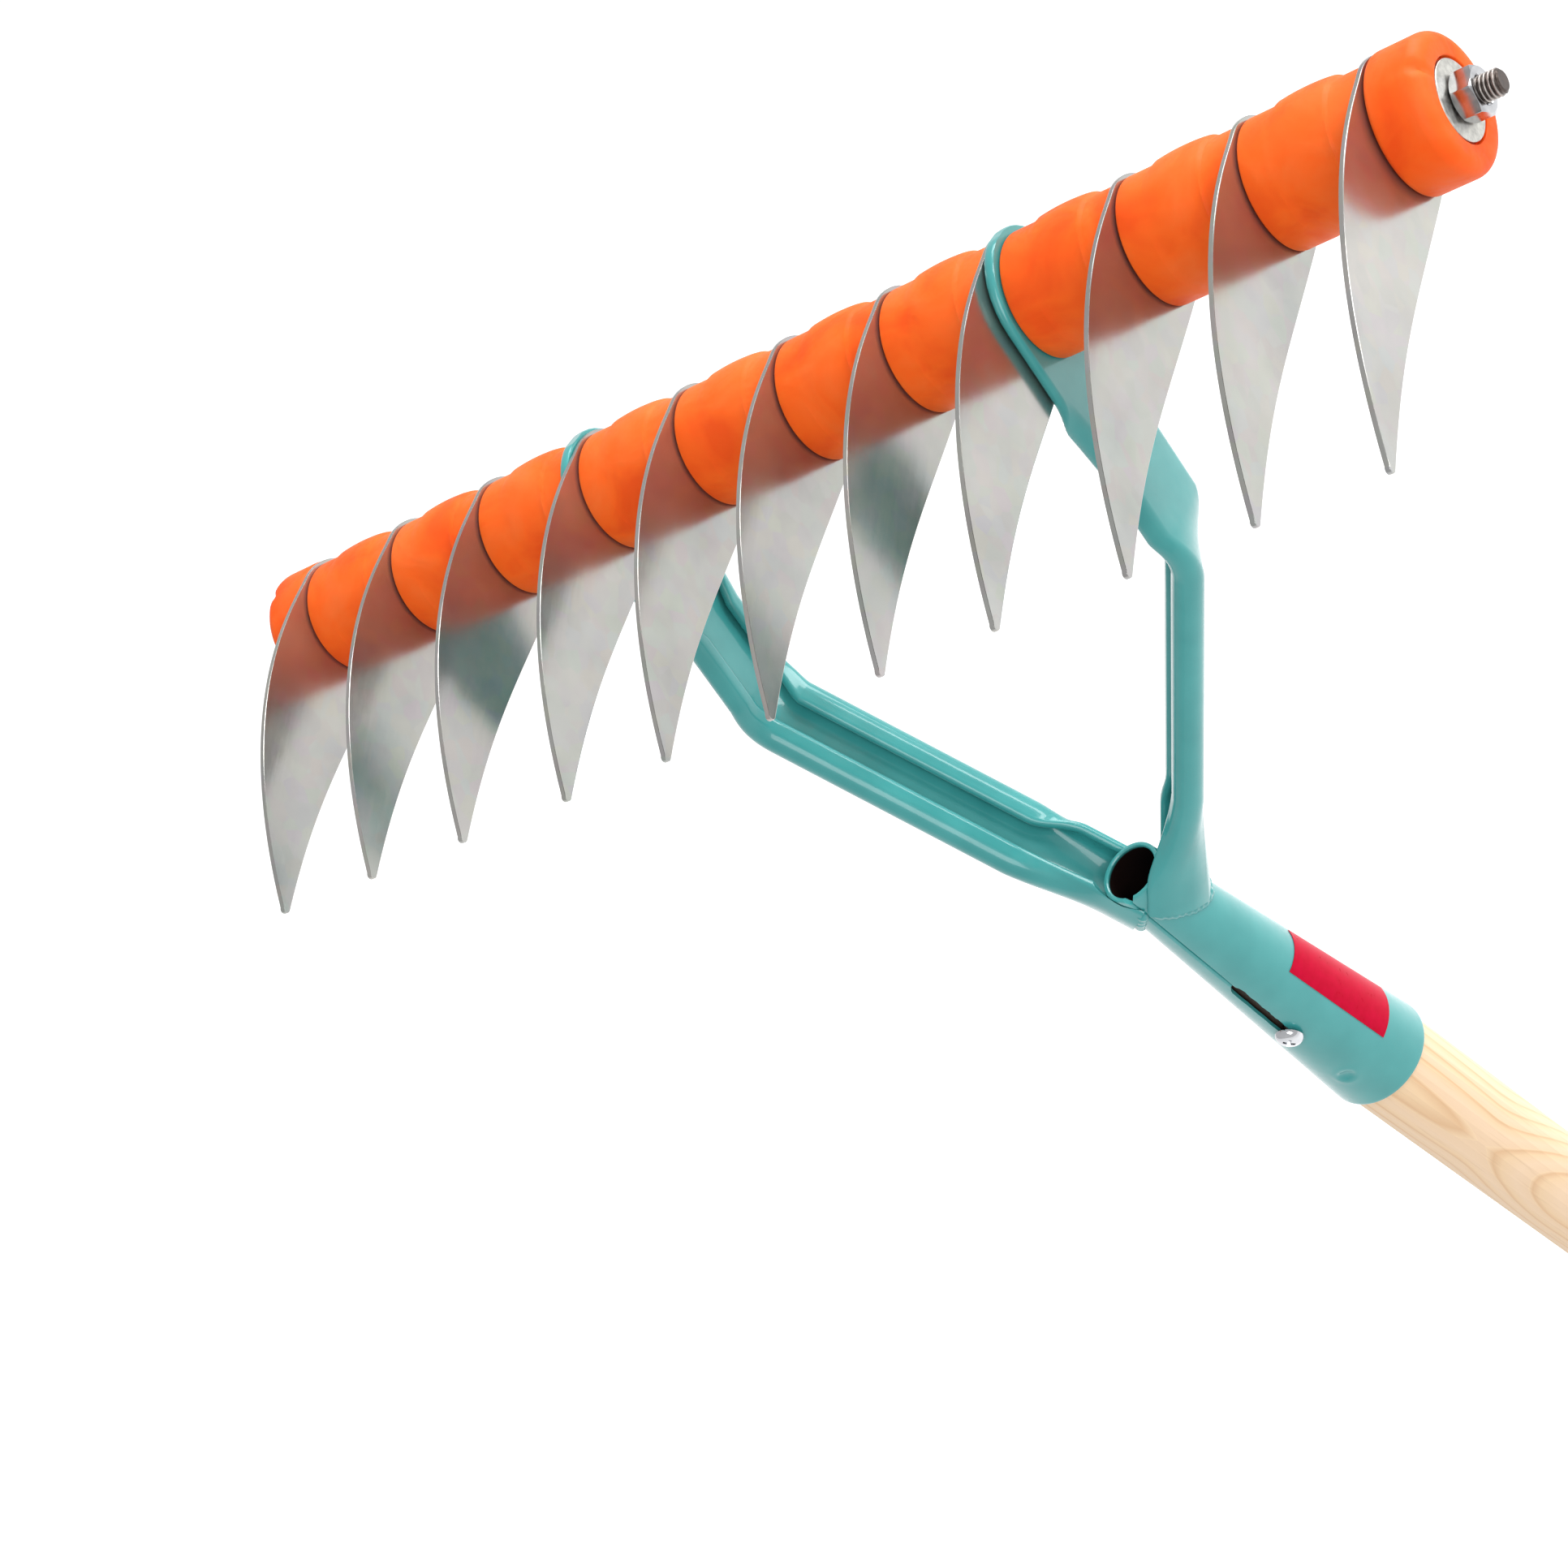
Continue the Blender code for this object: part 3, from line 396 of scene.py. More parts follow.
def paint_finish():
    """Glossy enamel with a light orange peel; where the socket is bare inside, a rough uncoated finish with
    painted shade in near black.
    """
    f = Finish("teal_paint")
    peel = f.noise(520.0, 2.0)
    wave = f.noise(90.0, 2.0)
    paint = f.ramp(wave, (0.3, (0.036, 0.300, 0.298)), (0.7, (0.050, 0.346, 0.342)))
    # Painted shade: near black on the socket's bare inside, where the tube lies in shadow.
    painted_inside_shade = f.ramp(wave, (0.3, (0.004, 0.003, 0.003)), (0.7, (0.012, 0.005, 0.004)))
    inside = f.inside_socket()
    bumped = f.bump(peel, 0.10, 0.0001, f.bump(wave, 0.12, 0.0006))

    def dulled(full, loss):
        return f.math("SUBTRACT", full, f.math("MULTIPLY", inside, loss))

    return f.set(
        Base_Color=f.mixed(inside, paint, painted_inside_shade),
        Roughness=f.math("ADD", f.ranged(peel, 0.2, 0.8, 0.30, 0.40), f.math("MULTIPLY", inside, 0.5)),
        Coat_Weight=dulled(0.70, 0.70),
        Specular_IOR_Level=dulled(0.36, 0.32),
        Coat_Roughness=0.07,
        Normal=bumped,
        Coat_Normal=bumped,
    )


def plate_finish(name, light, dark, rough_low, rough_high, scale=260.0):
    """Zinc plate with soft clouding."""
    f = Finish(name, metallic=1.0)
    cloud = f.noise(scale, 4.0, 0.6)
    return f.set(
        Base_Color=f.ramp(cloud, (0.3, dark), (0.7, light)),
        Roughness=f.ranged(cloud, 0.3, 0.7, rough_low, rough_high),
        Normal=f.bump(cloud, 0.10, 0.0002),
    )


def rod_finish():
    """Thread with painted shade in its grooves: light crests and near-black brown grooves."""
    f = Finish("threaded_steel", metallic=0.9)
    grime = f.noise(700.0, 4.0, 0.6)
    # Painted shade: the thread's grooves are coloured dark and the crests light.
    shade_free_crest = f.ranged(f.from_rod(), 0.00252, 0.00292, smooth=True)
    painted_groove_shade = f.ramp(grime, (0.3, (0.045, 0.033, 0.028)), (0.7, (0.12, 0.095, 0.085)))
    top = f.ramp(grime, (0.3, (0.27, 0.235, 0.215)), (0.7, (0.50, 0.465, 0.44)))
    return f.set(
        Base_Color=f.mixed(shade_free_crest, painted_groove_shade, top),
        Roughness=f.ranged(grime, 0.3, 0.7, 0.28, 0.48),
        Normal=f.bump(grime, 0.15, 0.0002),
    )


def wood_finish():
    """Bare pale wood: growth rings that drift along the handle, pores and soft blotches, and painted shade (near
    black) where it is inside the socket.
    """
    f = Finish("handle_wood")
    x, y, z = f.parts()

    def wander(seed, scale, detail, size):
        """Slow shift along the handle."""
        line = f.node("CombineXYZ", X=seed, Y=0.0, Z=z).outputs[0]
        return f.math("MULTIPLY", f.math("SUBTRACT", f.noise(scale, detail, vector=line), 0.5), size)

    across = f.math("ADD", f.math("SUBTRACT", x, 0.022), wander(3.1, 2.1, 1.0, 0.020))
    deep = f.math("ADD", f.math("ADD", y, 0.0220), wander(0.0, 3.2, 2.0, 0.050))
    deep = f.math("ADD", deep, f.ranged(z, MOUTH_Z - 0.085, MOUTH_Z - 0.035, 0.0, 0.012, True))
    wobble = f.math("MULTIPLY", f.streaks((55.0, 55.0, 5.0), 2.0), 0.9)
    saw = f.math("FRACT", f.math("ADD", f.math("MULTIPLY", f.length(across, deep), 300.0), wobble))
    line = f.ramp(
        saw,
        (0.0, (0.88, 0.63, 0.40)),
        (0.35, (0.91, 0.67, 0.45)),
        (0.72, (0.89, 0.63, 0.36)),
        (0.90, (0.72, 0.42, 0.19)),
        (1.0, (0.93, 0.69, 0.43)),
    )
    fibre = f.streaks((900.0, 900.0, 14.0), 3.0, 0.6)
    pores = f.ranged(f.streaks((1500.0, 1500.0, 45.0), 2.0), 0.60, 0.72, smooth=True)
    blotch = f.streaks((20.0, 20.0, 3.0), 2.0)
    # Painted shade: the wood inside the socket turns near black, standing in for the shadow there.
    painted_socket_shade = f.ranged(z, MOUTH_Z + 0.0015, MOUTH_Z + 0.0035, smooth=True)
    colour = f.mixed(0.85, (0.90, 0.66, 0.45), line)
    colour = f.mixed(f.math("MULTIPLY", pores, 0.28), colour, (0.58, 0.36, 0.17))
    colour = f.mixed(f.ranged(blotch, 0.35, 0.75, 0.0, 0.35), colour, (0.93, 0.71, 0.52))
    return f.set(
        Base_Color=f.mixed(painted_socket_shade, colour, (0.045, 0.030, 0.022)),
        Roughness=f.ranged(fibre, 0.2, 0.8, 0.42, 0.58),
        Normal=f.bump(fibre, 0.20, 0.0002, f.bump(saw, 0.05, 0.0002)),
        Specular_IOR_Level=0.35,
    )


def grip_finish():
    """Dipped coat: satin with faint pits and runs."""
    f = Finish("grip_coat")
    runs = f.streaks((120.0, 120.0, 14.0), 2.0)
    skin = f.noise(1300.0, 2.0)
    return f.set(
        Base_Color=f.ramp(runs, (0.3, (0.50, 0.040, 0.125)), (0.7, (0.60, 0.052, 0.155))),
        Roughness=f.ranged(skin, 0.2, 0.8, 0.38, 0.52),
        Normal=f.bump(skin, 0.12, 0.0002, f.bump(runs, 0.15, 0.0004)),
    )


def cord_finish():
    """Dull spun fibre."""
    f = Finish("cord_fibre", roughness=0.8)
    fuzz = f.noise(2600.0, 3.0, 0.6)
    return f.set(
        Base_Color=f.ramp(fuzz, (0.3, (0.075, 0.012, 0.026)), (0.7, (0.17, 0.030, 0.060))),
        Normal=f.bump(fuzz, 0.4, 0.0002),
        Sheen_Weight=0.3,
        Sheen_Roughness=0.5,
    )


def label_finish():
    """Plain printed foil."""
    f = Finish("plain_label")
    ink = f.noise(420.0, 2.0)
    return f.set(
        Base_Color=f.ramp(ink, (0.3, (0.50, 0.0005, 0.024)), (0.7, (0.56, 0.001, 0.033))),
        Roughness=f.ranged(ink, 0.2, 0.8, 0.26, 0.34),
        Normal=f.bump(ink, 0.05, 0.0001),
        Coat_Weight=0.02,
        Coat_Roughness=0.12,
        Specular_IOR_Level=0.05,
    )


GALVANISED = galvanised_finish()
SPACER = spacer_finish("spacer_plastic", 0.136, 0.011)
CAP = spacer_finish("cap_plastic", 0.118, 0.008)
PAINT = paint_finish()
NUT_PLATE = plate_finish("nut_zinc", (0.52, 0.525, 0.54), (0.34, 0.345, 0.36), 0.12, 0.22)
WASHER_PLATE = plate_finish("washer_zinc", (0.66, 0.655, 0.61), (0.36, 0.355, 0.33), 0.30, 0.52, 700.0)
SCREW_PLATE = plate_finish("screw_zinc", (0.72, 0.73, 0.75), (0.55, 0.56, 0.59), 0.08, 0.16)
ROD_STEEL = rod_finish()
WOOD = wood_finish()
GRIP = grip_finish()
CORD = cord_finish()
LABEL = label_finish()


# Hanging cord, on the route that its solid follows (in mm)

CORD_DIAMETER = 0.0018
STRAND_RADIUS = CORD_DIAMETER * 0.27
STRAND_LAY = 0.0052  # cord length of one full twist
ROUTE_STEPS = 14  # between two knots; the hole's mouth is at the second knot
HANG_HEIGHT = BUTT_Z + 0.0145
HANG_TURN = 23.0
CORD_ROUTE = (
    (-10.0, 0.0, 0.0),
    (-13.6, 0.0, 0.0),
    (-17.0, 0.8, -0.6),
    (-19.5, 5.0, -2.2),
    (-19.5, 13.0, -4.2),
    (-16.0, 26.0, -3.6),
    (-9.5, 37.5, 0.6),
    (-1.0, 43.2, 6.4),
    (8.0, 40.5, 12.6),
    (15.0, 30.5, 17.2),
    (19.5, 18.0, 18.8),
    (21.5, 8.0, 14.6),
    (20.2, 2.2, 6.6),
    (17.0, 0.2, 1.2),
    (13.6, 0.0, 0.0),
    (10.0, 0.0, 0.0),
)


def add_cord():
    """Two strands twisted along the loop."""
    turn = Matrix.Rotation(math.radians(HANG_TURN), 4, "Z")
    middle = Vector((0.0, 0.0, HANG_HEIGHT))
    line = [turn @ p + middle for p in smooth_route(CORD_ROUTE, ROUTE_STEPS)]
    sides = 8
    points = []
    faces = []
    for half_turn in (0.0, math.pi):
        faces += loft_faces(len(line), sides, capped=True, start=len(points))
        travelled = 0.0
        normal = Vector((0.0, 0.0, 1.0))
        for i, centre in enumerate(line):
            way = heading(line, i)
            normal = (normal - way * normal.dot(way)).normalized()
            side = way.cross(normal)
            if i:
                travelled += (centre - line[i - 1]).length
            phase = math.tau * travelled / STRAND_LAY + half_turn
            out = normal * math.cos(phase) + side * math.sin(phase)
            hub = centre + out * (CORD_DIAMETER / 2 - STRAND_RADIUS)
            points += circle(hub, normal * STRAND_RADIUS * 1.04, side * STRAND_RADIUS * 1.04, sides)
    loop = place("cord_loop", new_mesh("cord_loop", points, faces), CORD, ROOT, ["hanging_cord"])


add_cord()


# Blades

BLADE_HALF = 0.0006  # half the sheet's thickness
BLADE_EDGE = 0.00018  # width of the rounded edge
BLADE_ROOT = 0.0155
BLADE_REACH = 0.0870
BLADE_TIP = 0.0011
BACK_ANGLE = 79.0  # where the back and the front leave the root's circle
FRONT_ANGLE = -102.0


def bezier(a, b, c, d, steps):
    """Points of one Bezier piece without its last."""
    points = []
    for i in range(steps):
        t = i / steps
        s = 1 - t
        points.append(a * s ** 3 + b * 3 * s * s * t + c * 3 * s * t * t + d * t ** 3)
    return points


def on_circle(radius, degrees):
    """Point on a circle about the origin."""
    turn = math.radians(degrees)
    return Vector((radius * math.cos(turn), radius * math.sin(turn)))


def blade_outline():
    """Closed outline in (towards the handle, up) from the rod's axis."""
    tip = Vector((BLADE_TIP - BLADE_REACH, 0.0))
    upper = tip + Vector((0.0, BLADE_TIP))
    lower = tip - Vector((0.0, BLADE_TIP))
    back = on_circle(BLADE_ROOT, BACK_ANGLE)
    front = on_circle(BLADE_ROOT, FRONT_ANGLE)
    back_end = back + on_circle(0.0102, BACK_ANGLE + 90)
    front_end = front - on_circle(0.0345, FRONT_ANGLE + 90)
    points = bezier(back, back_end, Vector((-0.0401, 0.0294)), upper, 44)
    points += [tip + on_circle(BLADE_TIP, 90 + 18 * i) for i in range(10)]
    points += bezier(lower, Vector((-0.0525, -0.0018)), front_end, front, 44)
    points += [on_circle(BLADE_ROOT, between(FRONT_ANGLE, BACK_ANGLE, i / 30)) for i in range(30)]
    return points


def blade_mesh(x):
    """Flat sheared blade with a fine rounded edge."""
    outline = blade_outline()
    count = len(outline)
    rings = [(BLADE_EDGE, BLADE_HALF), (BLADE_EDGE * 0.3, BLADE_HALF - BLADE_EDGE * 0.3)]
    rings += [(0.0, BLADE_HALF - BLADE_EDGE)]
    rings += [(inset, -offset) for inset, offset in rings[::-1]]
    points = []
    for inset, offset in rings:
        for i, p in enumerate(outline):
            along = (outline[(i + 1) % count] - outline[i - 1]).normalized()
            q = p - Vector((along.y, -along.x)) * inset
            points.append((x + offset, HANDLE_OFFSET + q.x, ROD_Z + q.y))
    faces = loft_faces(len(rings), count)
    around = 24
    faces += loft_faces(2, around, start=len(points))
    for base, offset in ((0, BLADE_HALF), ((len(rings) - 1) * count, -BLADE_HALF)):
        start = len(points)
        centre = AXIS + Vector((x + offset, 0.0, 0.0))
        points += circle(centre, Vector((0.0, BORE, 0.0)), Vector((0.0, 0.0, BORE)), around)
        faces += sheet_faces(points, range(base, base + count), range(start, start + around))
    return new_mesh("blade", points, faces, sharp=35, flat_from=20)


def sheet_faces(points, ring, bore):
    """Two polygons that fill a flat ring around a bore, cut apart at the root and at the tip."""
    def nearest(y):
        return ring.index(min(ring, key=lambda k: math.hypot(points[k][1] - y, points[k][2] - ROD_Z)))

    start = nearest(HANDLE_OFFSET + BLADE_ROOT)
    ring = [*ring[start:], *ring[:start + 1]]
    tip = nearest(HANDLE_OFFSET - BLADE_REACH)
    bore = [*bore, bore[0]]
    half = len(bore) // 2
    return [(*ring[:tip + 1], *bore[half::-1]), (*ring[tip:], *bore[:half - 1:-1])]


for index, station in enumerate(BLADE_STATIONS):
    number = "%02d" % (index + 1)
    place("sickle_" + number, blade_mesh(station), GALVANISED, HEAD, ["blade_" + number])


# Spacers, caps and the rod's fasteners

SPACER_LENGTH = 0.0292
SPACER_RADIUS = 0.0147
SPACER_BAND = 0.0072  # length of the band at one end and the neck at the other
SPACER_ROUND = 0.0006
BELLY_OFFSET = 0.0006
EYE_SPACE = 0.0029


def spacer_shape():
    """Moulded spacer standing on Z: a plain band, an eccentric belly and a plain neck."""
    neck_start = SPACER_LENGTH - SPACER_BAND
    belly_end = neck_start - 0.0013
    neck = SPACER_RADIUS - GAP
    profile = [(BORE, 0.0)]
    profile += fillet(SPACER_RADIUS - SPACER_ROUND, SPACER_ROUND, SPACER_ROUND, -90, 0)
    profile += [(SPACER_RADIUS, z) for z in (0.0035, SPACER_BAND - 0.0004, SPACER_BAND)]
    for t in spread(0.0, 1.0, 10):
        swell = 0.0005 * math.sin(math.pi * min(t * 1.02, 1.0)) ** 0.6 + 0.00018 * t
        profile.append((SPACER_RADIUS + swell, between(SPACER_BAND, belly_end, t)))
    profile += [(neck + 0.00045, neck_start - 0.0006), (neck + 0.0001, neck_start - 0.0001)]
    profile += [(neck, neck_start + 0.0004), (neck, neck_start + 0.0035)]
    profile += fillet(neck - SPACER_ROUND, SPACER_LENGTH - SPACER_ROUND, SPACER_ROUND, 0, 90)
    profile += [(BORE, SPACER_LENGTH)]
    points, faces = turned(profile, 72, closed=True)
    shifted = []
    for x, y, z in points:
        inside = ramp(z, SPACER_BAND, SPACER_BAND + 0.0009) * (1 - ramp(z, belly_end, belly_end + 0.0010))
        if math.hypot(x, y) < SPACER_RADIUS * 0.7:
            inside = 0.0
        shifted.append((x, y + BELLY_OFFSET * soft(inside), z))
    return shifted, faces


def add_spacers():
    """A spacer between each two blades."""
    points, faces = spacer_shape()
    for index in range(10):
        start = BLADE_STATIONS[index] + BLADE_HALF + GAP + (EYE_SPACE if index == 7 else 0.0)
        number = "%02d" % (index + 1)
        mesh = new_mesh("spacer", along_rod(points, start), faces, sharp=40)
        place("orange_spacer_" + number, mesh, SPACER, HEAD, ["spacer_" + number])


CAP_START = BLADE_STATIONS[-1] + BLADE_HALF + GAP
CAP_LENGTH = 0.0132
CAP_END = CAP_START + CAP_LENGTH
CAP_RADIUS = 0.0157
CAP_RECESS = 0.0016
CAP_ROUND_IN = 0.0014
CAP_ROUND_OUT = 0.0034
WASHER_START = CAP_END - CAP_RECESS + GAP
WASHER_RADIUS = 0.0090
WASHER_THICKNESS = 0.0012
NUT_START = WASHER_START + WASHER_THICKNESS + GAP
NUT_HEIGHT = 0.0050
NUT_CORNER = 0.0100 / math.sqrt(3)
NUT_FACE = 0.00495  # radius of the flat face inside the chamfer
NUT_ROUND = 0.00035
ROD_END = NUT_START + NUT_HEIGHT + 0.0045
THREAD_PITCH = 0.0010
THREAD_CREST = 0.00296
THREAD_ROOT = 0.00240


def cap_mesh(flip):
    """Soft-edged cap with the washer's seat and a small gate scar on its shoulder."""
    seat = WASHER_RADIUS + 0.0005
    profile = [(BORE, CAP_START)]
    profile += fillet(CAP_RADIUS - CAP_ROUND_IN, CAP_START + CAP_ROUND_IN, CAP_ROUND_IN, -90, 0)
    profile += [(CAP_RADIUS, CAP_START + CAP_LENGTH / 2 - 0.0010)]
    profile += fillet(CAP_RADIUS - CAP_ROUND_OUT, CAP_END - CAP_ROUND_OUT, CAP_ROUND_OUT, 0, 90, 10)
    profile += fillet(seat + 0.0003, CAP_END - 0.0003, 0.0003, 90, 180, 4)
    profile += [(seat, CAP_END - CAP_RECESS), (BORE, CAP_END - CAP_RECESS)]
    points, faces = turned(profile, 96, closed=True)
    moved = []
    for x, y, z in points:
        radius = math.hypot(x, y)
        near = math.exp(-((math.atan2(y, -x) + 0.12) / 0.085) ** 2)
        near *= ramp(radius, 0.0108, 0.0130) * ramp(z, CAP_END - 0.0042, CAP_END - 0.0012)
        scale = 1.0 - near * 0.00085 / max(radius, 0.001)
        moved.append((x * scale, y * scale, z - near * 0.0007))
    return new_mesh("cap", along_rod(moved, flip=flip), faces, sharp=50)


def washer_mesh(flip):
    """Stamped washer with a soft rim."""
    low = WASHER_START
    high = WASHER_START + WASHER_THICKNESS
    profile = [(BORE, low), (WASHER_RADIUS - 0.0002, low), (WASHER_RADIUS, low + 0.0002)]
    profile += fillet(WASHER_RADIUS - 0.0004, high - 0.0004, 0.0004, 0, 90, 5)
    profile += [(BORE + 0.0003, high), (BORE, high - 0.0002)]
    points, faces = turned(profile, 96, closed=True)
    return new_mesh("washer", along_rod(points, flip=flip), faces, sharp=40)


def nut_mesh(flip):
    """Hexagon nut with turned chamfers and softened corners."""
    low = NUT_START
    high = NUT_START + NUT_HEIGHT
    wide = NUT_CORNER + 0.0001
    drop = (wide - NUT_FACE) * 0.55
    profile = [(BORE - 0.0003, low), (NUT_FACE, low), (wide, low + drop), (wide, high - drop)]
    profile += [(NUT_FACE, high), (BORE + 0.0002, high), (BORE - 0.0003, high - 0.0005)]
    blank = new_mesh("blank", *turned(profile, 96, closed=True))
    outline = []
    for corner in range(90, 450, 60):
        centre = on_circle(NUT_CORNER - NUT_ROUND * 2 / math.sqrt(3), corner)
        outline += [centre + on_circle(NUT_ROUND, corner + turn) for turn in range(-30, 31, 10)]
    points = [(p.x, p.y, z) for z in (low - 0.002, high + 0.002) for p in outline]
    hexagon = new_mesh("hexagon", points, loft_faces(2, len(outline), capped=True))
    mesh = boolean(blank, hexagon, "INTERSECT")
    for vertex in mesh.vertices:
        vertex.co = along_rod([vertex.co], flip=flip)[0]
    return smoothed(mesh, 18)


def rod_mesh():
    """Rod with a rolled thread where it shows and a plain middle covered by the spacers."""
    sides = 40
    plain_half = NUT_START - 0.0012
    stations = []
    x = -ROD_END
    while x < -plain_half:
        stations.append(x)
        x += THREAD_PITCH / 10
    stations += [-plain_half, -0.12, 0.0, 0.12]
    stations += [-v for v in stations[::-1] if v < -0.13]
    points = []
    for x in stations:
        for j in range(sides):
            wave = abs((x / THREAD_PITCH + j / sides) % 1.0 * 2 - 1)
            depth = between(THREAD_ROOT, THREAD_CREST, soft(ramp(wave, 0.10, 0.82)))
            if abs(x) < plain_half:
                depth = THREAD_CREST - 0.0002
            depth = min(depth, 0.00215 + (ROD_END - abs(x)) * 1.1)
            turn = math.tau * j / sides
            points.append((x, HANDLE_OFFSET + depth * math.cos(turn), ROD_Z + depth * math.sin(turn)))
    return new_mesh("rod", points, loft_faces(len(stations), sides, capped=True), sharp=60, flat_from=20)


add_spacers()
place("rolled_thread_rod", rod_mesh(), ROD_STEEL, HEAD, ["threaded_rod"])
for side, flip in (("right", False), ("left", True)):
    place("orange_cap_" + side, cap_mesh(flip), CAP, HEAD, ["end_cap_" + side])
    place("flat_washer_" + side, washer_mesh(flip), WASHER_PLATE, HEAD, ["washer_" + side])
    place("hexagon_nut_" + side, nut_mesh(flip), NUT_PLATE, HEAD, ["nut_" + side])


# Fork legs: a loft down each leg, with the folds opened round the socket at the foot
# A drop is a distance from the rod down the fork's plane

LEG_THICKNESS = 0.0026
LEG_LIP = LEG_THICKNESS * 0.4  # how far the rounded edge reaches out
LIP_STEPS = 6
LEG_HALF_WIDTH = 0.0162
LEG_STRIP = 0.0172  # half the strip laid flat
LEG_FLAT_END = 0.0200
LEG_TAPER_START = 0.0180  # drops between which the folds grow in from the strip's edges
LEG_TAPER_END = 0.0400
LEG_FOLD_WEB = 0.0096
LEG_FOLD_RADIUS = 0.0016
LEG_TURN_START = 0.0585
LEG_SHANK_WEB = 0.0066
LEG_SHANK_RADIUS = 0.0023
LEG_KNEE = 0.0658
LEG_KNEE_RADIUS = 0.0200
LEG_MEET = 0.1629  # drop where the two legs' backs would meet
LEG_END = 0.1518
LEG_FOOT_START = 0.1235  # drops between which the front side opens
LEG_FOOT_FORMED = 0.1445
LEG_REAR_START = 0.1225  # drops between which the rear side opens
LEG_REAR_FORMED = 0.1340
LEG_BULGE_START = 0.1230
LEG_BULGE = 0.0029
LEG_TWIST = 25.0
LEG_SET_KNEE = 0.0002  # how far the leg stands off the fork's plane
LEG_SET_END = -0.0026
EYE_PLANE = 0.0642
FORK_LEAN = math.atan2(HANDLE_OFFSET, 0.1340)
FEET_MEET = 0.0014  # from the seam to where the feet's front edges meet
SIDES = ((1, "right"), (-1, "left"))


# Middle lines of the opened foot in mm from the back's middle: the front of each leg and the rear
FOOT_BEND = ((0, 0), (3.2, 0.1), (5.1, 1.1), (6.6, 3.3), (7.4, 6.1))
FOOT_FRONT = {
    1: smooth_route((*FOOT_BEND, (7.6, 8.8), (7.3, 11.2)), 10),
    -1: smooth_route((*FOOT_BEND, (7.6, 9.0), (6.8, 13.6)), 10),
}
FOOT_REAR = smooth_route(((0, 0), (4.6, 0.0), (7.0, 0.5), (8.1, 2.0), (8.4, 4.1), (8.2, 5.9)), 10)


def folded_line(roll, web, radius):
    """Middle line of half the strip, from its back over the fold to its edge, and its points' fractions.

    As roll rises from 0 to 1 the fold grows in from that edge to its full width and curl.
    """
    half_strip = between(LEG_HALF_WIDTH, LEG_STRIP, roll)
    wide = half_strip - LEG_LIP - 0.0009
    web = between(wide, web, roll ** 0.7)
    full = half_strip - web - LEG_LIP
    arc = min(math.pi * radius, full * 0.93)
    curl = soft(min(roll * 2.0, 1.0)) / radius
    stations = [0.0] + spread(0.0, arc, 14) + spread(arc, full, 4)
    points = [Vector((0.0, 0.0)), Vector((web * 0.55, 0.0))]
    for station in stations:
        bent = min(station, arc)
        turn = curl * bent
        across = bent
        inward = 0.0
        if turn > 0.001:
            across = bent / turn * math.sin(turn)
            inward = bent / turn * (1 - math.cos(turn))
        points.append(Vector((web + across, inward)) + Vector((math.cos(turn), math.sin(turn))) * (station - bent))
    reach = web + full
    return points, [0.0, web * 0.55 / reach] + [(web + station) / reach for station in stations]


def half_section(line):
    """Outline of half the strip from its middle line: outside, rounded edge and inside."""
    outer = []
    inner = []
    for k, middle in enumerate(line):
        way = heading(line, k) if k else Vector((1.0, 0.0))
        out = Vector((way.y, -way.x)) * LEG_THICKNESS / 2
        outer.append(middle + out)
        inner.append(middle - out)
    turns = spread(0.0, math.pi, LIP_STEPS)[:-1]
    edge = [middle + out * math.cos(turn) + way * LEG_LIP * math.sin(turn) for turn in turns]
    return outer + edge + inner[::-1]


def leg_section(side, drop, narrow, roll, web, radius):
    """Outline of the strip at a drop: flat, folded, or opened round the socket at the foot."""
    folded, fractions = folded_line(roll, web, radius)
    bulge = LEG_BULGE * ramp(drop, LEG_BULGE_START, LEG_END) ** 1.2
    opened_front = eased(ramp(drop, LEG_FOOT_START, LEG_FOOT_FORMED))
    opened_rear = soft(ramp(drop, LEG_REAR_START, LEG_REAR_FORMED))
    halves = []
    for target, opened in ((FOOT_FRONT[side], opened_front), (FOOT_REAR, opened_rear)):
        line = []
        for point, foot in zip(folded, along_line(target, fractions)):
            spot = point.lerp(foot, opened)
            spot.y -= bulge * max(1 - (spot.x / 0.0070) ** 2, 0.0)
            line.append(Vector((spot.x * narrow, spot.y)))
        halves.append(half_section(line))
    return halves[0] + [Vector((-p.x, p.y)) for p in halves[1][-2:0:-1]]


def leg_path():
    """Stations (x, drop, direction angle, width factor) of the leg's back, and the knee's end."""
    bend = math.atan2(EYE_PLANE, LEG_MEET - LEG_KNEE)
    knee_start = LEG_KNEE - LEG_KNEE_RADIUS * math.tan(bend / 2)
    path = []
    for degrees in (8, 14, 21, 29, 38, 48, 59, 71, 80, 90):
        turn = math.radians(degrees)
        path.append((EYE_PLANE, -LEG_HALF_WIDTH * math.cos(turn), 0.0, math.sin(turn)))
    straight = spread(0.0, LEG_TAPER_START, 5) + spread(LEG_TAPER_START, LEG_TAPER_END, 18)
    straight += spread(LEG_TAPER_END, LEG_TURN_START, 4)
    path += [(EYE_PLANE, drop, 0.0, 1.0) for drop in straight]
    for turn in [0.0] + spread(0.0, bend, 20):
        knee_end = knee_start + LEG_KNEE_RADIUS * math.sin(turn)
        if knee_end > LEG_TURN_START + 0.0001:
            path.append((EYE_PLANE - LEG_KNEE_RADIUS * (1 - math.cos(turn)), knee_end, turn, 1.0))
    for drop in spread(knee_end, LEG_REAR_START, 6) + spread(LEG_REAR_START, LEG_END, 30):
        path.append(((LEG_MEET - drop) * math.tan(bend), drop, bend, 1.0))
    return path, knee_end


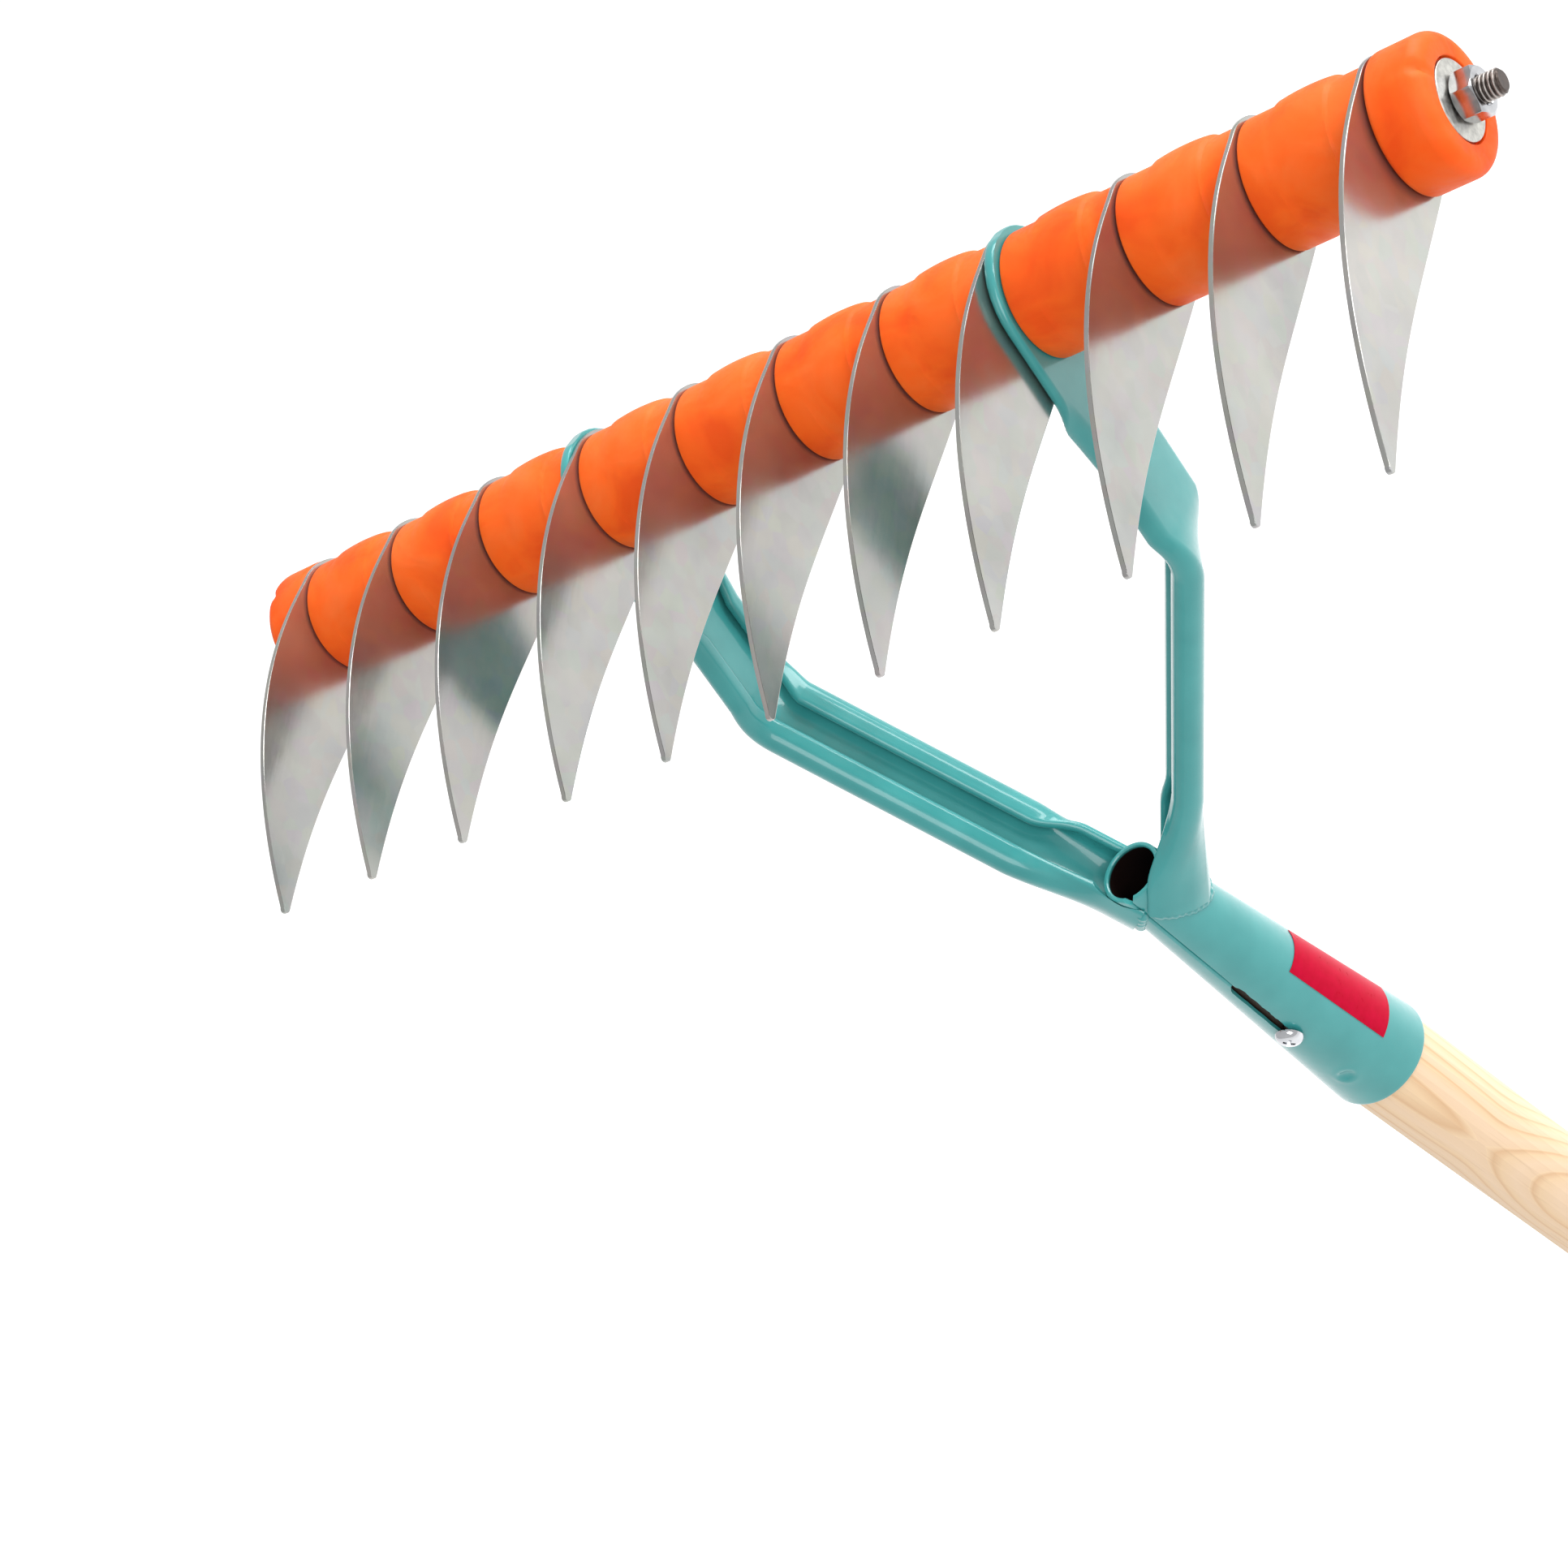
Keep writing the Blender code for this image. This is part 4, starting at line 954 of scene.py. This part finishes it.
def leg_rings(side):
    """Rings of points down one leg, in the row frame."""
    down = Vector((0.0, -math.sin(FORK_LEAN), -math.cos(FORK_LEAN)))
    face = Vector((0.0, -math.cos(FORK_LEAN), math.sin(FORK_LEAN)))
    path, knee_end = leg_path()
    rings = []
    for x, drop, angle, narrow in path:
        inward = Vector((-math.cos(angle), 0.0, 0.0)) - down * math.sin(angle)
        roll = ramp(drop, LEG_TAPER_START, LEG_TAPER_END)
        turned_in = eased(ramp(drop, LEG_TURN_START, knee_end))
        web = between(LEG_FOLD_WEB, LEG_SHANK_WEB, turned_in)
        radius = between(LEG_FOLD_RADIUS, LEG_SHANK_RADIUS, turned_in)
        twist = math.radians(LEG_TWIST) * turned_in
        across = face * math.cos(twist) - inward * math.sin(twist)
        hollow = inward * math.cos(twist) + face * math.sin(twist)
        stand_off = LEG_SET_KNEE * ramp(drop, LEG_FLAT_END, knee_end)
        stand_off += (LEG_SET_END - LEG_SET_KNEE) * ramp(drop, knee_end, LEG_END)
        centre = Vector((x, 0.0, 0.0)) + down * drop + face * stand_off
        ring = []
        for point in leg_section(side, drop, narrow, roll, web, radius):
            spot = centre + across * point.x + hollow * point.y
            ring.append(Vector((spot.x * side, spot.y, spot.z)) + AXIS)
        rings.append(ring)
    return rings


def leg_mesh(side):
    """Loft with the rod's hole, the saddle cut for the socket and the cut between the feet."""
    rings = leg_rings(side)
    mesh = new_mesh("leg", [p for ring in rings for p in ring], loft_faces(len(rings), len(rings[0]), capped=True))
    on_axis = Matrix.Translation(AXIS) @ Matrix.Rotation(math.radians(90), 4, "Y")
    mesh = boolean(mesh, cylinder_mesh(BORE, 0.2, 32, on_axis))
    top = SOCKET_LENGTH * 1.6
    radius = SOCKET_MOUTH_RADIUS + GAP
    cone = turned([(radius - SOCKET_SLOPE * top, MOUTH_Z + top), (radius, MOUTH_Z)], 96, capped=True)
    mesh = boolean(mesh, new_mesh("saddle", *cone))
    far = -side * LEG_MEET
    near = FEET_MEET + side * GAP / 2
    low = MOUTH_Z - LEG_MEET
    mesh = boolean(mesh, prism([(far, low), (near, low), (near, ROD_Z), (far, ROD_Z)], -LEG_MEET, LEG_MEET))
    return smoothed(mesh, 38)


for side, name in SIDES:
    place("pressed_leg_" + name, leg_mesh(side), PAINT, ROOT, ["fork_leg_" + name])


# Socket: rolled cone with a seam crease, slot, notch and punched dimple

SLOT_LOW = 0.0368
SLOT_HIGH = 0.0610
SLOT_HALF = 0.0011  # the left side is wider by SLOT_LEFT
SLOT_LEFT = 1.75
DIMPLE_HEIGHT = 0.0140
DIMPLE_ANGLE = math.atan2(0.0012, 0.0140)


def socket_radius(height):
    """Outer radius of the socket at a height above its mouth."""
    return SOCKET_MOUTH_RADIUS - SOCKET_SLOPE * height


def seam_angles():
    """Angles either way round the socket from the seam, closer together near it."""
    near = (0.0, 0.6, 1.2, 1.8, 2.5, 3.3, 4.5, 6, 8, 10, 12, 14, 16, 18, 20, 23, 26, 30)
    half = [math.radians(v) for v in (*near, *range(35, 180, 5))]
    return half + [math.pi] + [-v for v in half[:0:-1]]


def formed(height, angle):
    """How far seam, dimple and its rim move the socket's skin out."""
    radius = socket_radius(height)
    arc = angle * radius
    above = ramp(height, SLOT_HIGH - 0.002, SLOT_HIGH + 0.003)
    crease = math.exp(-(arc / 0.00028) ** 2) * 0.00055
    step = 0.00030 * math.exp(-abs(arc) / 0.0022) if arc < 0 else 0.0
    away = math.hypot((angle - DIMPLE_ANGLE) * radius / 1.25, height - DIMPLE_HEIGHT)
    dimple = 0.00075 * math.exp(-(away / 0.00165) ** 4)
    rim = 0.00014 * math.exp(-((away - 0.0025) / 0.0007) ** 2)
    return above * (step - crease) - dimple + rim


def socket_mesh():
    """Outer and inner skins with a folded seam, from rings of (height, change of radius, formed or plain)."""
    heights = [0.0004, 0.0010, 0.0025]
    heights += [0.0045 + 0.0008 * i for i in range(24)]
    heights += [0.0250 + 0.0040 * i for i in range(19)]
    heights += [SOCKET_LENGTH - 0.0010, SOCKET_LENGTH - 0.0004]
    rings = [(0.0, -0.00035, False), (0.00015, -0.00008, False)]
    rings += [(height, 0.0, True) for height in heights]
    rings += [(SOCKET_LENGTH - 0.00012, -0.00010, True), (SOCKET_LENGTH, -0.00038, True)]
    rings += [(SOCKET_LENGTH, 0.00030 - SOCKET_WALL, False), (SOCKET_LENGTH - 0.0003, -SOCKET_WALL, False)]
    rings += [(SOCKET_LENGTH * (1 - i / 12), -SOCKET_WALL, False) for i in range(1, 12)]
    rings += [(0.0003, -SOCKET_WALL, False), (0.0, 0.0002 - SOCKET_WALL, False)]
    angles = seam_angles()
    points = []
    for height, change, shaped in rings:
        for angle in angles:
            radius = socket_radius(height) + change + (formed(height, angle) if shaped else 0.0)
            turn = angle - math.pi / 2
            points.append((radius * math.cos(turn), radius * math.sin(turn), MOUTH_Z + height))
    mesh = new_mesh("socket", points, loft_faces(len(rings), len(angles), closed=True))
    mesh = boolean(mesh, slot_cutter())
    front = Matrix.Rotation(math.radians(90), 4, "X")
    hole = cylinder_mesh(0.0020, 0.03, 24, Matrix.Translation((0.0, -0.015, MOUTH_Z + SLOT_LOW)) @ front)
    mesh = boolean(mesh, hole)
    return smoothed(boolean(mesh, notch_cutter()), 40)


def slot_cutter():
    """Open seam: a narrow slot with slightly ragged sides and a pointed top."""
    right = []
    left = []
    for t in [0.0] + spread(0.0, 1.0, 26):
        z = MOUTH_Z + between(SLOT_LOW, SLOT_HIGH, t)
        width = SLOT_HALF * min(1.0, (1.0 - t) * 9 + 0.15)
        rough = 0.00009 * math.sin(31.0 * t + 0.6) + 0.00006 * math.sin(77.0 * t)
        right.append((width + rough, z))
        left.append((-width * SLOT_LEFT + 0.00005 * math.sin(23.0 * t), z))
    return prism(right + left[::-1], -0.03, 0.0)


def notch_cutter():
    """Small V where the rolled edges meet at the rim."""
    outline = ((-0.0019, 0.0004), (0.0017, 0.0004), (0.0004, -0.0012), (0.0, -0.0021), (-0.0004, -0.0013))
    return prism([(x, MOUTH_Z + SOCKET_LENGTH + z) for x, z in outline], -0.03, 0.0)


place("rolled_socket", socket_mesh(), PAINT, ROOT, ["socket"])


# Weld beads round the feet of the legs

WELD_RADIUS = 0.0016
WELD_STEPS = 90


def cone_normal(point):
    """Direction out of the socket's side."""
    flat = Vector((point.x, point.y, 0.0)).normalized()
    return (flat + Vector((0.0, 0.0, SOCKET_SLOPE))).normalized()


def above_cone(point):
    """Distance from the socket's side, measured level."""
    return math.hypot(point.x, point.y) - socket_radius(point.z - MOUTH_Z)


def weld_chain(side):
    """Points on the socket along the foot's square-cut end, and the direction down the leg."""
    rings = leg_rings(side)
    count = len(rings[0])
    chain = []
    for i in [*range(count - 20, count), *range(21)]:
        spot = rings[-1][i]
        if above_cone(spot) > 0.0 and side * (spot.x - FEET_MEET) > 0.0004:
            chain.append(spot - cone_normal(spot) * above_cone(spot) / math.hypot(1.0, SOCKET_SLOPE))
    return chain, (rings[-1][0] - rings[-3][0]).normalized()


def weld_mesh(side):
    """Run weld bead along the foot's edge, with the ripple that the torch leaves."""
    chain, downward = weld_chain(side)
    last = WELD_STEPS - 1
    line = along_line(chain, [k / last for k in range(WELD_STEPS)])
    around = 14
    points = []
    for k, spot in enumerate(line):
        normal = cone_normal(spot)
        outward = heading(line, k).cross(normal).normalized()
        if outward.dot(downward) < 0:
            outward.negate()
        size = WELD_RADIUS * math.sqrt(min((min(k, last - k) + 0.6) / 5, 1.0))
        size *= 1.0 + 0.07 * math.sin(k * 1.15 + side) + 0.05 * math.sin(k * 0.37)
        points += circle(spot + outward * 0.0003, outward * size, normal * size * 0.85, around)
    return new_mesh("weld", points, loft_faces(WELD_STEPS, around, capped=True), sharp=60)


for side, name in SIDES:
    place("weld_" + name, weld_mesh(side), PAINT, ROOT, ())


# Plain label

LABEL_LOW = 0.0148
LABEL_HIGH = 0.0519
LABEL_START = math.radians(-27)
LABEL_END = math.radians(37)


def label_mesh():
    """Thin foil wrapped on the socket's right side."""
    wide = 26
    tall = 16
    points = []
    for lift in (0.00022, 0.00008):
        for i in range(tall + 1):
            height = between(LABEL_LOW, LABEL_HIGH, i / tall)
            radius = socket_radius(height) + lift
            for j in range(wide + 1):
                turn = between(LABEL_START, LABEL_END, j / wide)
                points.append((radius * math.cos(turn), radius * math.sin(turn), MOUTH_Z + height))
    row = wide + 1
    back = row * (tall + 1)
    faces = []
    for corner in (i * row + j for i in range(tall) for j in range(wide)):
        quad = (corner, corner + 1, corner + row + 1, corner + row)
        faces += [quad, tuple(back + k for k in quad)]
    rim = [*range(row), *range(row + wide, back, row), *range(back - 2, back - row - 1, -1)]
    rim += range(back - 2 * row, 0, -row)
    faces += [(a, b, back + b, back + a) for a, b in zip(rim, rim[1:] + rim[:1])]
    return new_mesh("label", points, faces, sharp=40)


place("plain_label", label_mesh(), LABEL, ROOT)


# Socket screw

SCREW_HEAD = 0.0036
SCREW_TALL = 0.0023
SCREW_SHANK = 0.0017


def screw_mesh():
    """Pan head with a cross recess on its shank."""
    profile = []
    for degrees in range(83, 5, -7):
        turn = math.radians(degrees)
        profile.append((SCREW_HEAD * math.cos(turn) ** 0.8, SCREW_TALL * math.sin(turn) ** 0.9))
    profile += [(SCREW_HEAD, 0.0002), (SCREW_HEAD - 0.0002, 0.0)]
    profile += [(SCREW_SHANK, 0.0), (SCREW_SHANK, -0.0095), (0.0002, -0.0120)]
    mesh = new_mesh("screw", *turned(profile, 64, capped=True))
    slot = [(x * 0.0021, y * 0.00052, SCREW_TALL + 0.001) for x, y in CORNERS]
    slot += [(x * 0.0021 * 0.45, y * 0.00052 * 0.6, SCREW_TALL - 0.0015) for x, y in CORNERS]
    for degrees in (45, 135):
        turn = Matrix.Rotation(math.radians(degrees), 4, "Z")
        cutter = new_mesh("cross", [turn @ Vector(p) for p in slot], loft_faces(2, 4, capped=True))
        mesh = boolean(mesh, cutter)
    seat = socket_radius(SLOT_LOW) + GAP + SOCKET_SLOPE * SCREW_HEAD
    for vertex in mesh.vertices:
        x, y, z = vertex.co
        vertex.co = (x, -seat - z, MOUTH_Z + SLOT_LOW + y)
    return smoothed(mesh, 30)


place("pan_head_screw", screw_mesh(), SCREW_PLATE, ROOT, ["socket_screw"])


# Light, floor and backdrop

LIT_SPOT = Vector((0.0, 0.03, 1.42))


def floor_finish():
    """Pale matt floor with a glow of its own for the camera and for mirrors."""
    f = Finish("floor", roughness=0.9)
    f.set(Base_Color=(0.86, 0.86, 0.86, 1.0))
    rays = f.node("LightPath").outputs
    seen = f.math("MAXIMUM", rays["Is Camera Ray"], rays["Is Glossy Ray"])
    seen = f.math("MAXIMUM", seen, rays["Is Transmission Ray"])
    glow = f.node("Emission", Color=(1.0, 1.0, 1.0, 1.0), Strength=f.math("MULTIPLY", seen, 0.45))
    both = f.node("AddShader")
    f.feed(f.shader.outputs[0], both.inputs[0])
    f.feed(glow.outputs[0], both.inputs[1])
    f.feed(both.outputs[0], f.tree.nodes["Material Output"].inputs["Surface"])
    return f.material


def add_floor():
    """Pale floor under the butt; it shows white and keeps a shadow."""
    mesh = bpy.data.meshes.new("floor")
    mesh.from_pydata([(14 * x, 14 * y, BUTT_Z - 0.001) for x, y in CORNERS], [], [(0, 1, 2, 3)])
    floor = bpy.data.objects.new("floor", mesh)
    scene.collection.objects.link(floor)
    mesh.materials.append(floor_finish())


def add_world():
    """Even studio white; the backdrop itself shows as pure white."""
    world = bpy.data.worlds.new("studio")
    scene.world = world
    world.use_nodes = True
    tree = world.node_tree
    background = tree.nodes["Background"]
    background.inputs["Color"].default_value = (1.0, 1.0, 1.0, 1.0)
    path = tree.nodes.new("ShaderNodeLightPath")
    strength = tree.nodes.new("ShaderNodeMapRange")
    strength.inputs["To Min"].default_value = 0.66
    strength.inputs["To Max"].default_value = 1.0
    tree.links.new(path.outputs["Is Camera Ray"], strength.inputs["Value"])
    tree.links.new(strength.outputs["Result"], background.inputs["Strength"])


def add_lamp(name, towards, distance, size, size_y, power):
    """Area lamp at a distance in a direction from the head, facing it."""
    lamp = bpy.data.lights.new(name, "AREA")
    lamp.shape = "RECTANGLE"
    lamp.size = size
    lamp.size_y = size_y
    lamp.energy = power
    thing = bpy.data.objects.new(name, lamp)
    scene.collection.objects.link(thing)
    direction = Vector(towards).normalized()
    thing.location = LIT_SPOT + direction * distance
    thing.rotation_euler = direction.to_track_quat("Z", "Y").to_euler()


add_floor()
add_world()
add_lamp("key", (0.283, 0.842, 0.46), 2.4, 1.8, 1.8, 55.0)
add_lamp("front", (0.62, -0.62, 0.75), 2.6, 1.6, 1.6, 28.0)
add_lamp("strip", (0.95, 0.45, 0.30), 2.0, 0.35, 1.6, 14.0)


# CAD nodes that keep their shape

KEPT = {"wooden_handle": WOOD, "grip_sleeve": GRIP}
for name, material in KEPT.items():
    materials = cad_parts[name].data.materials
    materials.clear()
    materials.append(material)
